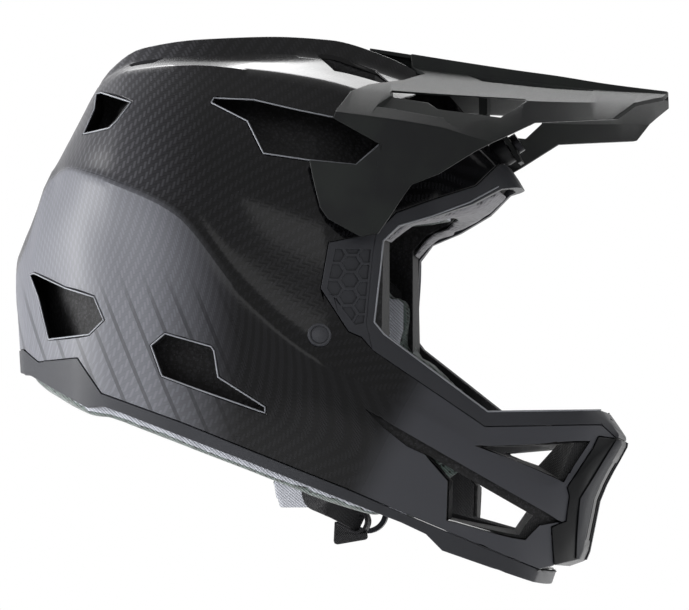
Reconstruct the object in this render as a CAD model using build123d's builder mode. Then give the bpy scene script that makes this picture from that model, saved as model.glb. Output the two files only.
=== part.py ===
# A downhill bike full face helmet, worn upright and facing +X, with +Z up, in mm.
# The origin is the middle of the wearer's head. The side in the photograph is at -Y.

from build123d import *
import math
import os

os.makedirs("parts", exist_ok=True)

# Overall sizes of the shell
shell_length = 360.0
shell_width = 246.0
shell_height = 328.0

# Walls and clearances
shell_wall = 2.6
peak_wall = 2.6
trim_depth = 6.0
trim_proud = 0.5
fit_gap = 0.2
run_gap = 0.4

# The wearer's head inside the liner
head_half_length = 101.0
head_half_width = 80.0
head_top = 77.0
head_back_offset = 2.0
head_corners = 32
eye_level = -16.0

# Windows, vents and slots
recess_depth = 15.0
window_reach = 41.0
rear_window_reach = 20.5
wing_slot_reach = 49.2
top_slot_low = 60.0
top_slot_high = 150.0
mouth_slot_width = 10.0
mouth_slot_length = 90.0
mouth_slot_height = 46.0
mouth_slot_middle = 15.0
mouth_slot_level = -160.0

# The peak's pivot, measured out from the middle plane
pin_radius = 4.0
pin_top = 104.4
flange_radius = 8.0
flange_top = 100.0
socket_wall = 3.6
socket_end = 101.6
notch_level = 78.5

# The peak's adjuster at the forehead, measured from the pivot
adjuster_turn = 33.0
tilt_range = 8.0
tongue_radius = 92.0
tongue_wall = 2.5
tongue_width = 17.0
tongue_low_turn = 26.0
tongue_high_turn = 48.5
tongue_steps = 8
tongue_level = 99.0
slot_spare = 2.0
screw_depth = 18.0
screw_radius = 2.5
screw_head_radius = 6.0
screw_head_height = 4.0
boss_depth = 12.0
boss_radius = 8.5
nut_radius = 6.0

# The chin strap, its rivets, rings, tab and comfort pads
strap_width = 18.0
strap_wall = 1.8
strap_pad_width = 30.0
strap_pad_wall = 3.6
rivet_start = 105.5
rivet_radius = 3.0
cap_radius = 7.0
cap_wall = 1.2
cap_reach = 8.0
ring_wall = 2.6
ring_band = 3.0
ring_half = 12.0
ring_drop = 16.0
ring_apart = 3.8
hem_wall = 1.8
tab_wall = 3.6
tab_height = 19.0
tab_top_share = -0.509

# The linings and the pads
rim_lift = 4.0
lining_wall = 1.2
pad_gap = 0.3
crown_pad_wall = 7.0
strip_half = 22.0
strip_end = 25.0
pad_low = 30.0
forehead_low = 8.0
forehead_high = 36.0
forehead_depth = 48.0
forehead_inset = 4.0
roll_drop = 3.0
core_face = 62.4
pad_face = 60.0
snap_radius = 6.0

# The head's outline from its top down: how high, and how large, as shares
head_level_shares = ((1.0, 0.16), (0.965, 0.36), (0.86, 0.60), (0.68, 0.80), (0.42, 0.94),
                     (0.12, 1.0), (-2.8, 1.0))

# The space inside the chin bar from above: how far along and how far out, as shares
chin_space_shares = ((0.0, 0.0), (0.0, 0.350), (0.16, 0.345), (0.25, 0.305), (0.32, 0.262),
                     (0.37, 0.215), (0.41, 0.150), (0.432, 0.080), (0.437, 0.0))

# How far the photograph's view is turned and tilted, and where its middle looks
view_turn = math.radians(7.5)
view_tilt = math.radians(-3.2)
view_distance = 3200.0
mm_per_px = 0.6
middle_px = (344.5, 305.0)
head_px = (290.0, 235.0)
look_x = (middle_px[0] - head_px[0]) * mm_per_px
look_z = (head_px[1] - middle_px[1]) * mm_per_px

# The middle of the body's length and height, as shares measured from the head's middle
middle_share = 0.053
level_share = -0.136

# The body's cross-sections: how far along, then each corner of the right half from the crest
# to the lower edge, as shares of the shell's length, width and height
body_section_shares = (
    (-0.447, ((0.000, -0.024), (0.033, -0.026), (0.049, -0.027), (0.073, -0.030),
             (0.093, -0.034), (0.114, -0.040), (0.130, -0.052), (0.138, -0.064),
             (0.142, -0.076), (0.142, -0.104), (0.134, -0.128), (0.118, -0.146))),
    (-0.419, ((0.000, 0.037), (0.041, 0.035), (0.065, 0.034), (0.098, 0.030),
             (0.126, 0.026), (0.163, 0.015), (0.195, 0.000), (0.211, -0.015),
             (0.224, -0.030), (0.244, -0.085), (0.244, -0.146), (0.220, -0.341))),
    (-0.383, ((0.000, 0.131), (0.045, 0.130), (0.069, 0.128), (0.102, 0.125),
             (0.126, 0.122), (0.154, 0.116), (0.179, 0.110), (0.203, 0.098),
             (0.224, 0.085), (0.301, -0.006), (0.321, -0.128), (0.285, -0.381))),
    (-0.344, ((0.000, 0.223), (0.057, 0.220), (0.081, 0.213), (0.122, 0.204),
             (0.154, 0.192), (0.211, 0.165), (0.252, 0.137), (0.280, 0.116),
             (0.299, 0.104), (0.366, 0.000), (0.382, -0.146), (0.350, -0.399))),
    (-0.300, ((0.000, 0.305), (0.065, 0.302), (0.089, 0.290), (0.146, 0.277),
             (0.183, 0.259), (0.264, 0.201), (0.325, 0.149), (0.362, 0.104),
             (0.380, 0.091), (0.419, -0.012), (0.435, -0.171), (0.402, -0.418))),
    (-0.244, ((0.000, 0.346), (0.069, 0.343), (0.098, 0.317), (0.171, 0.305),
             (0.215, 0.290), (0.321, 0.213), (0.382, 0.137), (0.417, 0.082),
             (0.433, 0.069), (0.455, -0.043), (0.467, -0.201), (0.431, -0.439))),
    (-0.144, ((0.000, 0.361), (0.071, 0.358), (0.102, 0.326), (0.191, 0.314),
             (0.236, 0.293), (0.354, 0.198), (0.421, 0.104), (0.455, 0.030),
             (0.472, 0.015), (0.488, -0.098), (0.494, -0.244), (0.451, -0.482))),
    (-0.033, ((0.000, 0.364), (0.073, 0.361), (0.106, 0.326), (0.199, 0.309),
             (0.248, 0.277), (0.374, 0.177), (0.439, 0.067), (0.476, -0.110),
             (0.490, -0.128), (0.498, -0.213), (0.496, -0.314), (0.455, -0.524))),
    (0.072, ((0.000, 0.349), (0.069, 0.354), (0.102, 0.319), (0.195, 0.293),
             (0.244, 0.255), (0.362, 0.152), (0.431, 0.030), (0.480, -0.213),
             (0.492, -0.229), (0.494, -0.299), (0.486, -0.378), (0.443, -0.573))),
    (0.167, ((0.000, 0.308), (0.049, 0.323), (0.077, 0.293), (0.175, 0.262),
             (0.220, 0.223), (0.321, 0.122), (0.386, 0.000), (0.445, -0.274),
             (0.455, -0.290), (0.457, -0.351), (0.447, -0.421), (0.407, -0.619))),
    (0.256, ((0.000, 0.244), (0.045, 0.264), (0.069, 0.248), (0.150, 0.220),
             (0.183, 0.186), (0.264, 0.095), (0.325, -0.024), (0.390, -0.326),
             (0.400, -0.338), (0.402, -0.399), (0.394, -0.466), (0.358, -0.674))),
    (0.322, ((0.000, 0.168), (0.045, 0.177), (0.065, 0.171), (0.118, 0.149),
             (0.142, 0.128), (0.195, 0.061), (0.301, -0.213), (0.341, -0.366),
             (0.352, -0.378), (0.356, -0.436), (0.350, -0.497), (0.317, -0.710))),
    (0.392, ((0.000, 0.076), (0.028, 0.076), (0.045, 0.075), (0.069, 0.067),
             (0.085, 0.058), (0.118, 0.006), (0.252, -0.274), (0.285, -0.418),
             (0.297, -0.430), (0.305, -0.476), (0.301, -0.537), (0.268, -0.732))),
    (0.450, ((0.000, -0.137), (0.024, -0.140), (0.041, -0.143), (0.061, -0.152),
             (0.081, -0.168), (0.130, -0.229), (0.211, -0.299), (0.244, -0.451),
             (0.252, -0.463), (0.256, -0.506), (0.252, -0.555), (0.220, -0.652))),
    (0.500, ((0.000, -0.274), (0.020, -0.275), (0.037, -0.277), (0.053, -0.278),
             (0.073, -0.280), (0.138, -0.296), (0.179, -0.317), (0.193, -0.445),
             (0.197, -0.457), (0.199, -0.494), (0.191, -0.534), (0.163, -0.573))),
    (0.553, ((0.000, -0.348), (0.012, -0.348), (0.024, -0.348), (0.037, -0.349),
             (0.053, -0.350), (0.081, -0.355), (0.102, -0.364), (0.113, -0.381),
             (0.115, -0.390), (0.114, -0.402), (0.106, -0.415), (0.089, -0.424))),
)

# The peak's cross-sections, from its spine over two folds to the wing's lower edge, as the
# same shares
peak_section_shares = (
    (0.056, ((0.000, 0.357), (0.024, 0.357), (0.033, 0.332), (0.301, 0.256),
             (0.394, 0.207), (0.459, -0.061))),
    (0.167, ((0.000, 0.337), (0.024, 0.337), (0.033, 0.312), (0.297, 0.241),
             (0.394, 0.191), (0.459, -0.061))),
    (0.278, ((0.000, 0.316), (0.024, 0.316), (0.033, 0.294), (0.276, 0.233),
             (0.382, 0.171), (0.439, -0.030))),
    (0.389, ((0.000, 0.296), (0.024, 0.296), (0.033, 0.276), (0.260, 0.226),
             (0.366, 0.143), (0.390, 0.061))),
    (0.444, ((0.000, 0.287), (0.024, 0.287), (0.033, 0.268), (0.252, 0.223),
             (0.354, 0.155), (0.358, 0.091))),
    (0.528, ((0.000, 0.271), (0.024, 0.271), (0.033, 0.258), (0.240, 0.221),
             (0.333, 0.174), (0.337, 0.116))),
    (0.622, ((0.000, 0.258), (0.024, 0.257), (0.033, 0.250), (0.232, 0.220),
             (0.317, 0.188), (0.321, 0.137))),
)


def spot(pixel):
    """The X and Z of a pixel of the photograph, for a point at its distance before the middle."""
    across_px, down_px, before = pixel
    x = look_x
    z = look_z
    for _ in range(4):
        nearer = (x - look_x) * math.sin(view_turn) + before * math.cos(view_turn)
        nearer = nearer * math.cos(view_tilt) + (z - look_z) * math.sin(view_tilt)
        scale = mm_per_px * (view_distance - nearer) / view_distance
        across = (across_px - middle_px[0]) * scale
        up = (middle_px[1] - down_px) * scale
        x = look_x + (across + before * math.sin(view_turn)) / math.cos(view_turn)
        lean = math.sin(view_tilt) * (math.sin(view_turn) * (x - look_x)
                                      + math.cos(view_turn) * before)
        z = look_z + (up + lean) / math.cos(view_tilt)
    return (x, z)


def skinned(rings, guide=None):
    """A closed solid over rings of corners, joined by flat faces split along the guide's shorter
    diagonals."""
    faces = [Face(Wire.make_polygon(rings[0])), Face(Wire.make_polygon(rings[-1]))]
    guide = guide or rings
    for near, far, near_guide, far_guide in zip(rings, rings[1:], guide, guide[1:]):
        for place, corner in enumerate(near):
            after = (place + 1) % len(near)
            falling = (far_guide[after] - near_guide[place]).length
            rising = (far_guide[place] - near_guide[after]).length
            if falling < rising:
                faces.append(Face(Wire.make_polygon([corner, near[after], far[after]])))
                faces.append(Face(Wire.make_polygon([corner, far[after], far[place]])))
            else:
                faces.append(Face(Wire.make_polygon([corner, near[after], far[place]])))
                faces.append(Face(Wire.make_polygon([near[after], far[after], far[place]])))
    with BuildPart() as form:
        add(Solid(Shell(faces)))
    return form.part


def drawn_in(chain, depth):
    """The corners of half a section, moved in by the depth, square to both sides of each."""
    moved = []
    for place, corner in enumerate(chain):
        before = chain[place - 1] if place else (-chain[1][0], chain[1][1])
        stops = [(before, corner)]
        if place + 1 < len(chain):
            stops.append((corner, chain[place + 1]))
        out = 0.0
        up = 0.0
        for start, stop in stops:
            run = math.hypot(stop[0] - start[0], stop[1] - start[1])
            out += (start[1] - stop[1]) / run
            up += (stop[0] - start[0]) / run
        factor = depth * len(stops) / (out * out + up * up)
        moved.append((corner[0] - out * factor, corner[1] - up * factor))
    return moved


def mirrored(along, half):
    """A closed ring across the body from the corners of its left half."""
    other = [(-out, up) for out, up in reversed(half) if out]
    return [Vector(along, out, up) for out, up in [*half, *other]]


def body_rings(depth):
    """The corners of the body's cross-sections, drawn in by the depth on all sides."""
    along_scale = 1.0 - 2.0 * depth / shell_length
    out_scale = 1.0 - 2.0 * depth / shell_width
    up_scale = 1.0 - 2.0 * depth / shell_height
    rings = []
    for along_share, corner_shares in body_section_shares:
        along = middle_share * shell_length
        along += (along_share - middle_share) * shell_length * along_scale
        half = []
        for out_share, up_share in corner_shares:
            up = level_share * shell_height
            up += (up_share - level_share) * shell_height * up_scale
            half.append((out_share * shell_width * out_scale, up))
        rings.append(mirrored(along, half))
    return rings


def body(depth):
    """The whole body without openings, drawn in by the depth on all sides."""
    return skinned(body_rings(depth), body_rings(0))


def side_block(points, inner, outer):
    """A block with this outline from the side, on the right and the left of the middle plane."""
    with BuildPart() as block:
        with BuildSketch(Plane.XZ.offset(inner)):
            with BuildLine():
                Polyline(*points, close=True)
            make_face()
        extrude(amount=outer - inner)
        mirror(about=Plane.XZ)
    return block.part


def plan_block(points, low, high):
    """A block with this outline from above on the left, and its mirror image on the right."""
    with BuildPart() as block:
        with BuildSketch(Plane.XY.offset(low)):
            with BuildLine():
                Polyline(*points, close=True)
            make_face()
        extrude(amount=high - low)
        mirror(about=Plane.XZ)
    return block.part


def spots(pixels):
    """The X and Z of each pixel of an outline."""
    return [spot(pixel) for pixel in pixels]


def save(form, name):
    """Names a finished piece and writes its file."""
    form.label = name
    export_step(form, "parts/" + name + ".step")


# Outlines read from the photograph: across, down, and how far before the middle plane, in mm
eyeport_rim_px = (
    (381.4, 260.7, 95), (383.0, 241.0, 95), (398.6, 225.8, 91), (432.3, 216.0, 82),
    (470.0, 202.0, 68), (498.2, 186.5, 48), (523.0, 188.0, 10), (560.0, 176.0, 0),
    (720.0, 176.0, 0), (720.0, 437.0, 0), (622.0, 437.0, 14), (600.6, 410.0, 42),
    (487.6, 411.4, 72), (384.0, 334.0, 100), (374.3, 322.0, 103))
eyeport_trim_px = (
    (366.0, 262.0, 98), (368.0, 236.0, 98), (394.4, 211.7, 92), (471.5, 183.0, 66),
    (498.2, 164.0, 22), (560.0, 150.0, 0), (740.0, 150.0, 0), (740.0, 452.0, 0),
    (617.0, 438.8, 22), (600.6, 424.6, 44), (485.4, 426.8, 74), (373.0, 350.0, 103),
    (358.0, 330.0, 105))
temple_panel_px = (
    (330.0, 243.0, 102), (368.0, 236.0, 98), (366.0, 262.0, 98), (358.0, 330.0, 105),
    (373.0, 350.0, 103), (362.0, 337.5, 105), (349.0, 332.0, 107), (321.5, 289.0, 108))
base_line_px = (
    (16.0, 352.0, 0), (36.0, 352.0, 20), (48.0, 364.0, 45), (85.0, 359.5, 80),
    (106.0, 394.0, 95), (185.0, 423.0, 110), (345.0, 488.0, 115), (400.0, 511.6, 104),
    (538.0, 569.0, 66), (556.0, 571.5, 55), (680.0, 571.5, 55))
trim_edge_px = (
    (545.0, 584.5, 58), (540.0, 584.5, 62), (440.5, 551.0, 95), (424.5, 534.5, 98),
    (400.0, 523.0, 104), (250.0, 463.0, 114), (125.5, 414.5, 100), (107.5, 408.0, 95),
    (92.5, 409.5, 88), (39.5, 378.5, 40), (16.0, 372.0, 0))
mouth_cover_px = (
    (597.3, 435.5, 46), (618.0, 438.8, 22), (700.0, 438.8, 0), (700.0, 559.5, 0),
    (580.0, 559.5, 30), (553.4, 566.0, 50), (551.0, 526.6, 60), (565.5, 521.0, 55),
    (568.8, 496.0, 56), (566.6, 487.0, 57), (591.8, 447.6, 48))
side_window_px = (
    (211.4, 102.7, 74), (247.4, 121.0, 88), (263.4, 153.2, 100), (308.6, 160.0, 100),
    (356.0, 164.7, 96), (379.8, 144.0, 86), (333.0, 117.0, 74), (296.3, 109.6, 72),
    (253.5, 99.6, 72), (213.7, 98.0, 70))
upper_rear_vent_px = (
    (96.2, 94.0, 45), (101.0, 92.6, 45), (131.0, 102.3, 62), (117.0, 120.7, 68),
    (109.4, 128.0, 68), (83.5, 134.0, 55), (94.4, 109.0, 52))
rear_window_px = (
    (30.0, 275.0, 40), (34.0, 273.3, 45), (65.0, 288.0, 80), (94.0, 297.0, 98),
    (103.6, 320.0, 104), (89.0, 334.5, 100), (48.5, 339.4, 72), (38.2, 297.0, 60))
side_vent_px = (
    (151.0, 345.5, 118), (165.0, 333.5, 119), (211.0, 346.5, 121), (214.0, 351.0, 121),
    (218.0, 377.0, 121), (265.0, 407.0, 121), (265.0, 413.0, 121), (197.0, 389.0, 119),
    (162.0, 376.0, 117))
arm_vent_px = ((481.0, 446.5, 72), (588.5, 442.0, 48), (563.3, 480.5, 60))
jaw_vent_px = (
    (426.2, 454.2, 95), (449.2, 480.5, 88), (448.0, 519.0, 90), (525.0, 538.7, 68),
    (542.5, 521.0, 62))
wing_px = (
    (332.8, 118.0, 99), (336.0, 109.0, 96), (353.8, 87.2, 74), (353.8, 10.0, 74),
    (700.0, 10.0, 0), (700.0, 118.7, 0), (616.0, 118.7, 79), (533.0, 121.0, 88),
    (504.0, 136.0, 92), (475.7, 150.0, 97), (438.6, 173.3, 102), (411.2, 184.4, 104),
    (405.6, 192.0, 105), (379.0, 233.5, 108), (361.0, 237.0, 109), (328.0, 219.0, 108),
    (320.0, 207.5, 107), (313.0, 180.0, 105), (309.0, 160.0, 103), (356.0, 164.7, 103),
    (379.8, 144.0, 101))
wing_slot_px = (
    (391.0, 91.0, 68), (393.0, 97.4, 76), (427.8, 102.5, 79), (437.3, 109.0, 84),
    (501.0, 117.2, 85), (520.0, 105.0, 76), (527.0, 99.6, 68))
strap_cap_px = (319.5, 335.0, 119.0)
tilt_pin_px = (361.0, 221.0, 100.0)


def ellipse_ring(half_length, half_width, back, level):
    """A level ring of corners on an ellipse round the head."""
    ring = []
    for step in range(head_corners):
        turn = 2.0 * math.pi * step / head_corners
        ring.append(Vector(half_length * math.cos(turn) - back, half_width * math.sin(turn), level))
    return ring


def head_form(depth):
    """The space for the wearer's head, open at the neck, drawn in by the depth."""
    rings = []
    for level_part, size_part in head_level_shares:
        level = level_part * (head_top - depth)
        rings.append(ellipse_ring((head_half_length - depth) * size_part,
                                  (head_half_width - depth) * size_part, head_back_offset, level))
    return skinned(rings)


def chin_space(depth):
    """The space inside the chin bar, seen from above, drawn in by the depth."""
    points = [(along * shell_length - depth, out * shell_width - depth if out else out)
              for along, out in chin_space_shares]
    return plan_block(points, -shell_height, eye_level)


# The forms that the pieces are cut from
skin = body(0)
under_skin = body(shell_wall)
lining_skin = body(shell_wall + fit_gap)
trim_skin = body(-trim_proud)
trim_back = body(trim_depth)
core_skin = body(trim_depth + run_gap)
head_room = head_form(0)
eyeport_hole = side_block(spots(eyeport_rim_px), 0, shell_width)
eyeport_cut = side_block(spots(eyeport_trim_px), 0, shell_width)
panel_cut = side_block(spots(temple_panel_px), 0, shell_width)
base_cut = side_block([*spots(base_line_px), (shell_length, -shell_height),
                       (-shell_length, -shell_height)], 0, shell_width)
trim_band = side_block([*spots(base_line_px)[:-1], *spots(trim_edge_px)], 0, shell_width)
mouth_cut = side_block(spots(mouth_cover_px), 0, shell_width)
window_cut = side_block(spots(side_window_px), window_reach, shell_width)
upper_rear_cut = side_block(spots(upper_rear_vent_px), rear_window_reach, shell_width)
rear_window_cut = side_block(spots(rear_window_px), rear_window_reach, shell_width)
side_vent_cut = side_block(spots(side_vent_px), window_reach, shell_width)
arm_vent_cut = side_block(spots(arm_vent_px), 0, shell_width)
jaw_vent_cut = side_block(spots(jaw_vent_px), 0, shell_width)

# Top slots between the crest and the side ridges, from above, as shares of length and width
rear_slot_shares = ((-0.262, 0.100), (-0.205, 0.100), (-0.215, 0.165), (-0.250, 0.165))
front_slot_shares = ((0.055, 0.098), (0.150, 0.090), (0.185, 0.135), (0.090, 0.170))


def shared(points):
    """An outline from above, from its shares of the shell's length and width."""
    return [(along * shell_length, out * shell_width) for along, out in points]


rear_slots = plan_block(shared(rear_slot_shares), top_slot_low, top_slot_high)
front_slots = plan_block(shared(front_slot_shares), top_slot_low, top_slot_high)

# The pivot of the peak, level across the helmet
pivot_x, pivot_z = spot(tilt_pin_px)


def on_adjuster(reach):
    """A plane square to the adjuster's line, at this distance from the pivot."""
    turn = math.radians(adjuster_turn)
    direction = (math.cos(turn), 0, math.sin(turn))
    middle = (pivot_x + reach * direction[0], 0, pivot_z + reach * direction[2])
    return Plane(origin=middle, x_dir=(0, 1, 0), z_dir=direction)


def rod(plane, radius, length):
    """A round bar that stands on the plane."""
    with BuildPart(plane) as form:
        Cylinder(radius, length, align=(Align.CENTER, Align.CENTER, Align.MIN))
    return form.part


screw_start = tongue_radius - screw_depth
screw_hole = rod(on_adjuster(screw_start), screw_radius + fit_gap, screw_depth)
nut_pocket = rod(on_adjuster(screw_start - fit_gap), nut_radius + fit_gap, screw_depth)

# The strap's way from its rivet on the shell down to the chin, seen from the front
cap_x, cap_z = spot(strap_cap_px)
cap_y = strap_cap_px[2]

# The shell, one moulding from the crest to the chin bar
with BuildPart() as shell:
    add(skin)
    add(under_skin, mode=Mode.SUBTRACT)
    for hole in (eyeport_cut, panel_cut, base_cut, mouth_cut, window_cut, upper_rear_cut,
                 rear_window_cut, side_vent_cut, arm_vent_cut, jaw_vent_cut, rear_slots,
                 front_slots, screw_hole):
        add(hole, mode=Mode.SUBTRACT)
    with Locations(Location((cap_x, 0, cap_z), (90, 0, 0))):
        Cylinder(rivet_radius + fit_gap, shell_width, mode=Mode.SUBTRACT)
save(shell.part, "shell")

# The eyeport's rubber edge, from the brow round to the top of the chin bar
with BuildPart() as eyeport_trim:
    add(trim_skin)
    add(trim_back, mode=Mode.SUBTRACT)
    add(eyeport_cut, mode=Mode.INTERSECT)
    add(eyeport_hole, mode=Mode.SUBTRACT)
save(eyeport_trim.part, "eyeport_trim")

# The rubber panels at the temples
for side, name in ((-1, "temple_panel_right"), (1, "temple_panel_left")):
    with BuildPart() as temple_panel:
        add(trim_skin)
        add(trim_back, mode=Mode.SUBTRACT)
        add(panel_cut, mode=Mode.INTERSECT)
        add(eyeport_cut, mode=Mode.SUBTRACT)
        with Locations((0, -side * shell_width / 2, 0)):
            Box(shell_length, shell_width, shell_height, mode=Mode.SUBTRACT)
    save(temple_panel.part, name)

# The rubber edge round the neck opening and under the chin
with BuildPart() as base_trim:
    add(trim_skin)
    add(trim_back, mode=Mode.SUBTRACT)
    add(trim_band, mode=Mode.INTERSECT)
    add(mouth_cut, mode=Mode.SUBTRACT)
save(base_trim.part, "base_trim")

# The cover over the front of the chin bar, with its two breathing slots
with BuildPart() as mouth_slots:
    with Locations((shell_length / 2, -mouth_slot_middle, mouth_slot_level),
                   (shell_length / 2, mouth_slot_middle, mouth_slot_level)):
        Box(mouth_slot_length, mouth_slot_width, mouth_slot_height)
with BuildPart() as mouth_cover:
    add(body(-2 * trim_proud))
    add(trim_back, mode=Mode.SUBTRACT)
    add(mouth_cut, mode=Mode.INTERSECT)
    add(eyeport_cut, mode=Mode.SUBTRACT)
    add(mouth_slots.part, mode=Mode.SUBTRACT)
save(mouth_cover.part, "mouth_vent_cover")

# The crown liner of expanded foam, with room for the head, the windows' hollows and the straps
liner_front = spot(eyeport_rim_px[0])[0]


def raised(points, lift):
    """The points of an outline, lifted."""
    return [(along, up + lift) for along, up in points]


brow_line = spots(eyeport_rim_px)[:7]
brow_block = side_block([*brow_line, *raised(reversed(brow_line), rim_lift)], 0, shell_width)
lifted_brow = raised(brow_line[1:], rim_lift + fit_gap)
face_start = liner_front + fit_gap
face_block = side_block([(face_start, -shell_height), (face_start, lifted_brow[0][1]),
                         *lifted_brow[1:], (shell_length, lifted_brow[-1][1]),
                         (shell_length, -shell_height)], 0, shell_width)


def banded(path, wall, width, spare, seen_from_front):
    """A flat band along a path, with spare room round it. Its width lies along the helmet if it is
    seen from the front, and across the helmet if not."""
    rings = []
    for place, (along, out, up) in enumerate(path):
        before = path[max(place - 1, 0)]
        after = path[min(place + 1, len(path) - 1)]
        first = 1 if seen_from_front else 0
        run = math.hypot(after[first] - before[first], after[2] - before[2])
        side = (before[2] - after[2]) / run * (wall / 2 + spare)
        lift = (after[first] - before[first]) / run * (wall / 2 + spare)
        half = width / 2 + spare
        ring = []
        for turn, edge in ((1, half), (1, -half), (-1, -half), (-1, half)):
            if seen_from_front:
                ring.append(Vector(along + edge, out + turn * side, up + turn * lift))
            else:
                ring.append(Vector(along + turn * side, out + edge, up + turn * lift))
        rings.append(ring)
    return skinned(rings)


# The chin strap's path on the right, as how far along, out and up, and its end on the left
strap_path_shares = ((0.083, -0.436, -0.165), (0.083, -0.443, -0.280), (0.079, -0.410, -0.420),
                     (0.077, -0.392, -0.463), (0.098, -0.300, -0.492), (0.117, -0.190, -0.500))
fold_path_shares = ((0.095, -0.168, -0.487), (0.128, -0.168, -0.483), (0.143, -0.168, -0.490),
                    (0.148, -0.168, -0.505), (0.139, -0.168, -0.520), (0.117, -0.168, -0.528),
                    (0.100, -0.168, -0.524))
pad_path_shares = ((0.048, -0.391, -0.414), (0.046, -0.374, -0.450), (0.050, -0.333, -0.464),
                   (0.054, -0.288, -0.477))
left_path_shares = ((0.083, 0.436, -0.165), (0.083, 0.443, -0.280), (0.079, 0.410, -0.420),
                    (0.077, 0.392, -0.463), (0.110, 0.230, -0.492), (0.121, 0.110, -0.496))
left_pad_path_shares = ((0.048, 0.391, -0.412), (0.046, 0.374, -0.446), (0.050, 0.333, -0.458),
                        (0.054, 0.288, -0.464))


def pathed(path_shares):
    """A path's points, in mm."""
    return [(along * shell_length, out * shell_width, up * shell_height)
            for along, out, up in path_shares]


strap_right_form = banded(pathed(strap_path_shares), strap_wall, strap_width, 0, True)
strap_right_way = banded(pathed(strap_path_shares), strap_wall, strap_width, run_gap, True)
strap_left_form = banded(pathed(left_path_shares), strap_wall, strap_width, 0, True)
strap_left_way = banded(pathed(left_path_shares), strap_wall, strap_width, run_gap, True)
pad_right_way = banded(pathed(pad_path_shares), strap_pad_wall, strap_pad_width, run_gap, True)
pad_left_way = banded(pathed(left_pad_path_shares), strap_pad_wall, strap_pad_width, run_gap, True)

# What the liner leaves free: hollows behind the windows, and room for the rubber edges
recess_skin = body(recess_depth)
with BuildPart() as window_hollows:
    for cut in (window_cut, side_vent_cut, rear_window_cut, upper_rear_cut):
        add(cut)
    add(recess_skin, mode=Mode.SUBTRACT)
with BuildPart() as rubber_room:
    add(eyeport_cut)
    add(panel_cut)
    add(core_skin, mode=Mode.SUBTRACT)
with BuildPart() as rivet_room:
    for side in (-1, 1):
        with Locations(Location((cap_x, side * (rivet_start - run_gap), cap_z),
                                (-90 * side, 0, 0))):
            Cylinder(rivet_radius + fit_gap, shell_width / 2,
                     align=(Align.CENTER, Align.CENTER, Align.MIN))

with BuildPart() as liner_crown:
    add(lining_skin)
    add(head_room, mode=Mode.SUBTRACT)
    add(face_block, mode=Mode.SUBTRACT)
    add(base_cut, mode=Mode.SUBTRACT)
    add(nut_pocket, mode=Mode.SUBTRACT)
    add(strap_left_way, mode=Mode.SUBTRACT)
    add(strap_right_way, mode=Mode.SUBTRACT)
    for hole in (rear_slots, front_slots, window_hollows.part, rubber_room.part, rivet_room.part,
                 pad_right_way, pad_left_way):
        add(hole, mode=Mode.SUBTRACT)
save(liner_crown.part, "liner_crown")

# Everything ahead of the crown liner and below a level
chin_start = liner_front + 2 * fit_gap


def chin_block(top):
    """A block over the chin bar's whole width, up to this level."""
    return side_block([(chin_start, -shell_height), (chin_start, top), (shell_length, top),
                       (shell_length, -shell_height)], 0, shell_width)


# The foam inside the chin bar, with its vents
with BuildPart() as liner_chin:
    add(lining_skin)
    add(chin_space(0), mode=Mode.SUBTRACT)
    add(chin_block(eye_level), mode=Mode.INTERSECT)
    for hole in (eyeport_cut, panel_cut, base_cut, mouth_cut, arm_vent_cut, jaw_vent_cut):
        add(hole, mode=Mode.SUBTRACT)
    add(mouth_slots.part, mode=Mode.SUBTRACT)
save(liner_chin.part, "liner_chin_bar")

# The woven lining over the inside of the chin bar
with BuildPart() as chin_lining:
    add(chin_space(fit_gap))
    add(chin_space(fit_gap + lining_wall), mode=Mode.SUBTRACT)
    add(chin_block(eye_level - lining_wall), mode=Mode.INTERSECT)
    for hole in (eyeport_hole, base_cut, arm_vent_cut, jaw_vent_cut, mouth_slots.part):
        add(hole, mode=Mode.SUBTRACT)
save(chin_lining.part, "chin_lining")

# The peak, a thin moulding folded along four lines, with a hollow spine
peak_rings = []
peak_space_rings = []
for along_share, corner_shares in peak_section_shares:
    chain = [(out * shell_width, up * shell_height) for out, up in corner_shares]
    inner = drawn_in(chain, peak_wall)
    clear = drawn_in(chain, peak_wall + fit_gap)
    along = along_share * shell_length
    full = [(-out, up) for out, up in reversed(chain[1:])]
    inner_left = [(-out, up) for out, up in inner[1:]]
    corners = [*chain, *reversed(inner[1:]), (0.0, inner[0][1]), *inner_left, *full]
    peak_rings.append([Vector(along, out, up) for out, up in corners])
    peak_space_rings.append(mirrored(along, [(0.0, clear[0][1]), *clear[1:]]))
peak_solid = skinned(peak_rings)
peak_space = skinned(peak_space_rings)

# The peak's outline from above: the notch round the crest and the front edge, as shares
notch_shares = ((-0.2, 0.0), (0.205, 0.0), (0.205, 0.026), (0.232, 0.078), (0.203, 0.160),
                (0.152, 0.235), (0.132, 0.300), (-0.2, 0.300))
front_shares = ((0.614, 0.0), (0.600, 0.232), (0.563, 0.330), (0.563, 0.600), (0.900, 0.600),
                (0.900, 0.0))
spine_slot_shares = ((0.302, 0.040), (0.330, 0.085), (0.445, 0.078), (0.545, 0.042))


def turned_spot(reach, turn):
    """The X and Z at this reach and angle from the peak's pivot."""
    return (pivot_x + reach * math.cos(math.radians(turn)),
            pivot_z + reach * math.sin(math.radians(turn)))


def tongue_outline(inner, outer, low_turn, high_turn):
    """A curved strip round the peak's pivot, from one angle to another."""
    turns = [low_turn + (high_turn - low_turn) * step / tongue_steps for step in range(tongue_steps + 1)]
    return [*[turned_spot(inner, turn) for turn in turns],
            *[turned_spot(outer, turn) for turn in reversed(turns)]]


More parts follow.
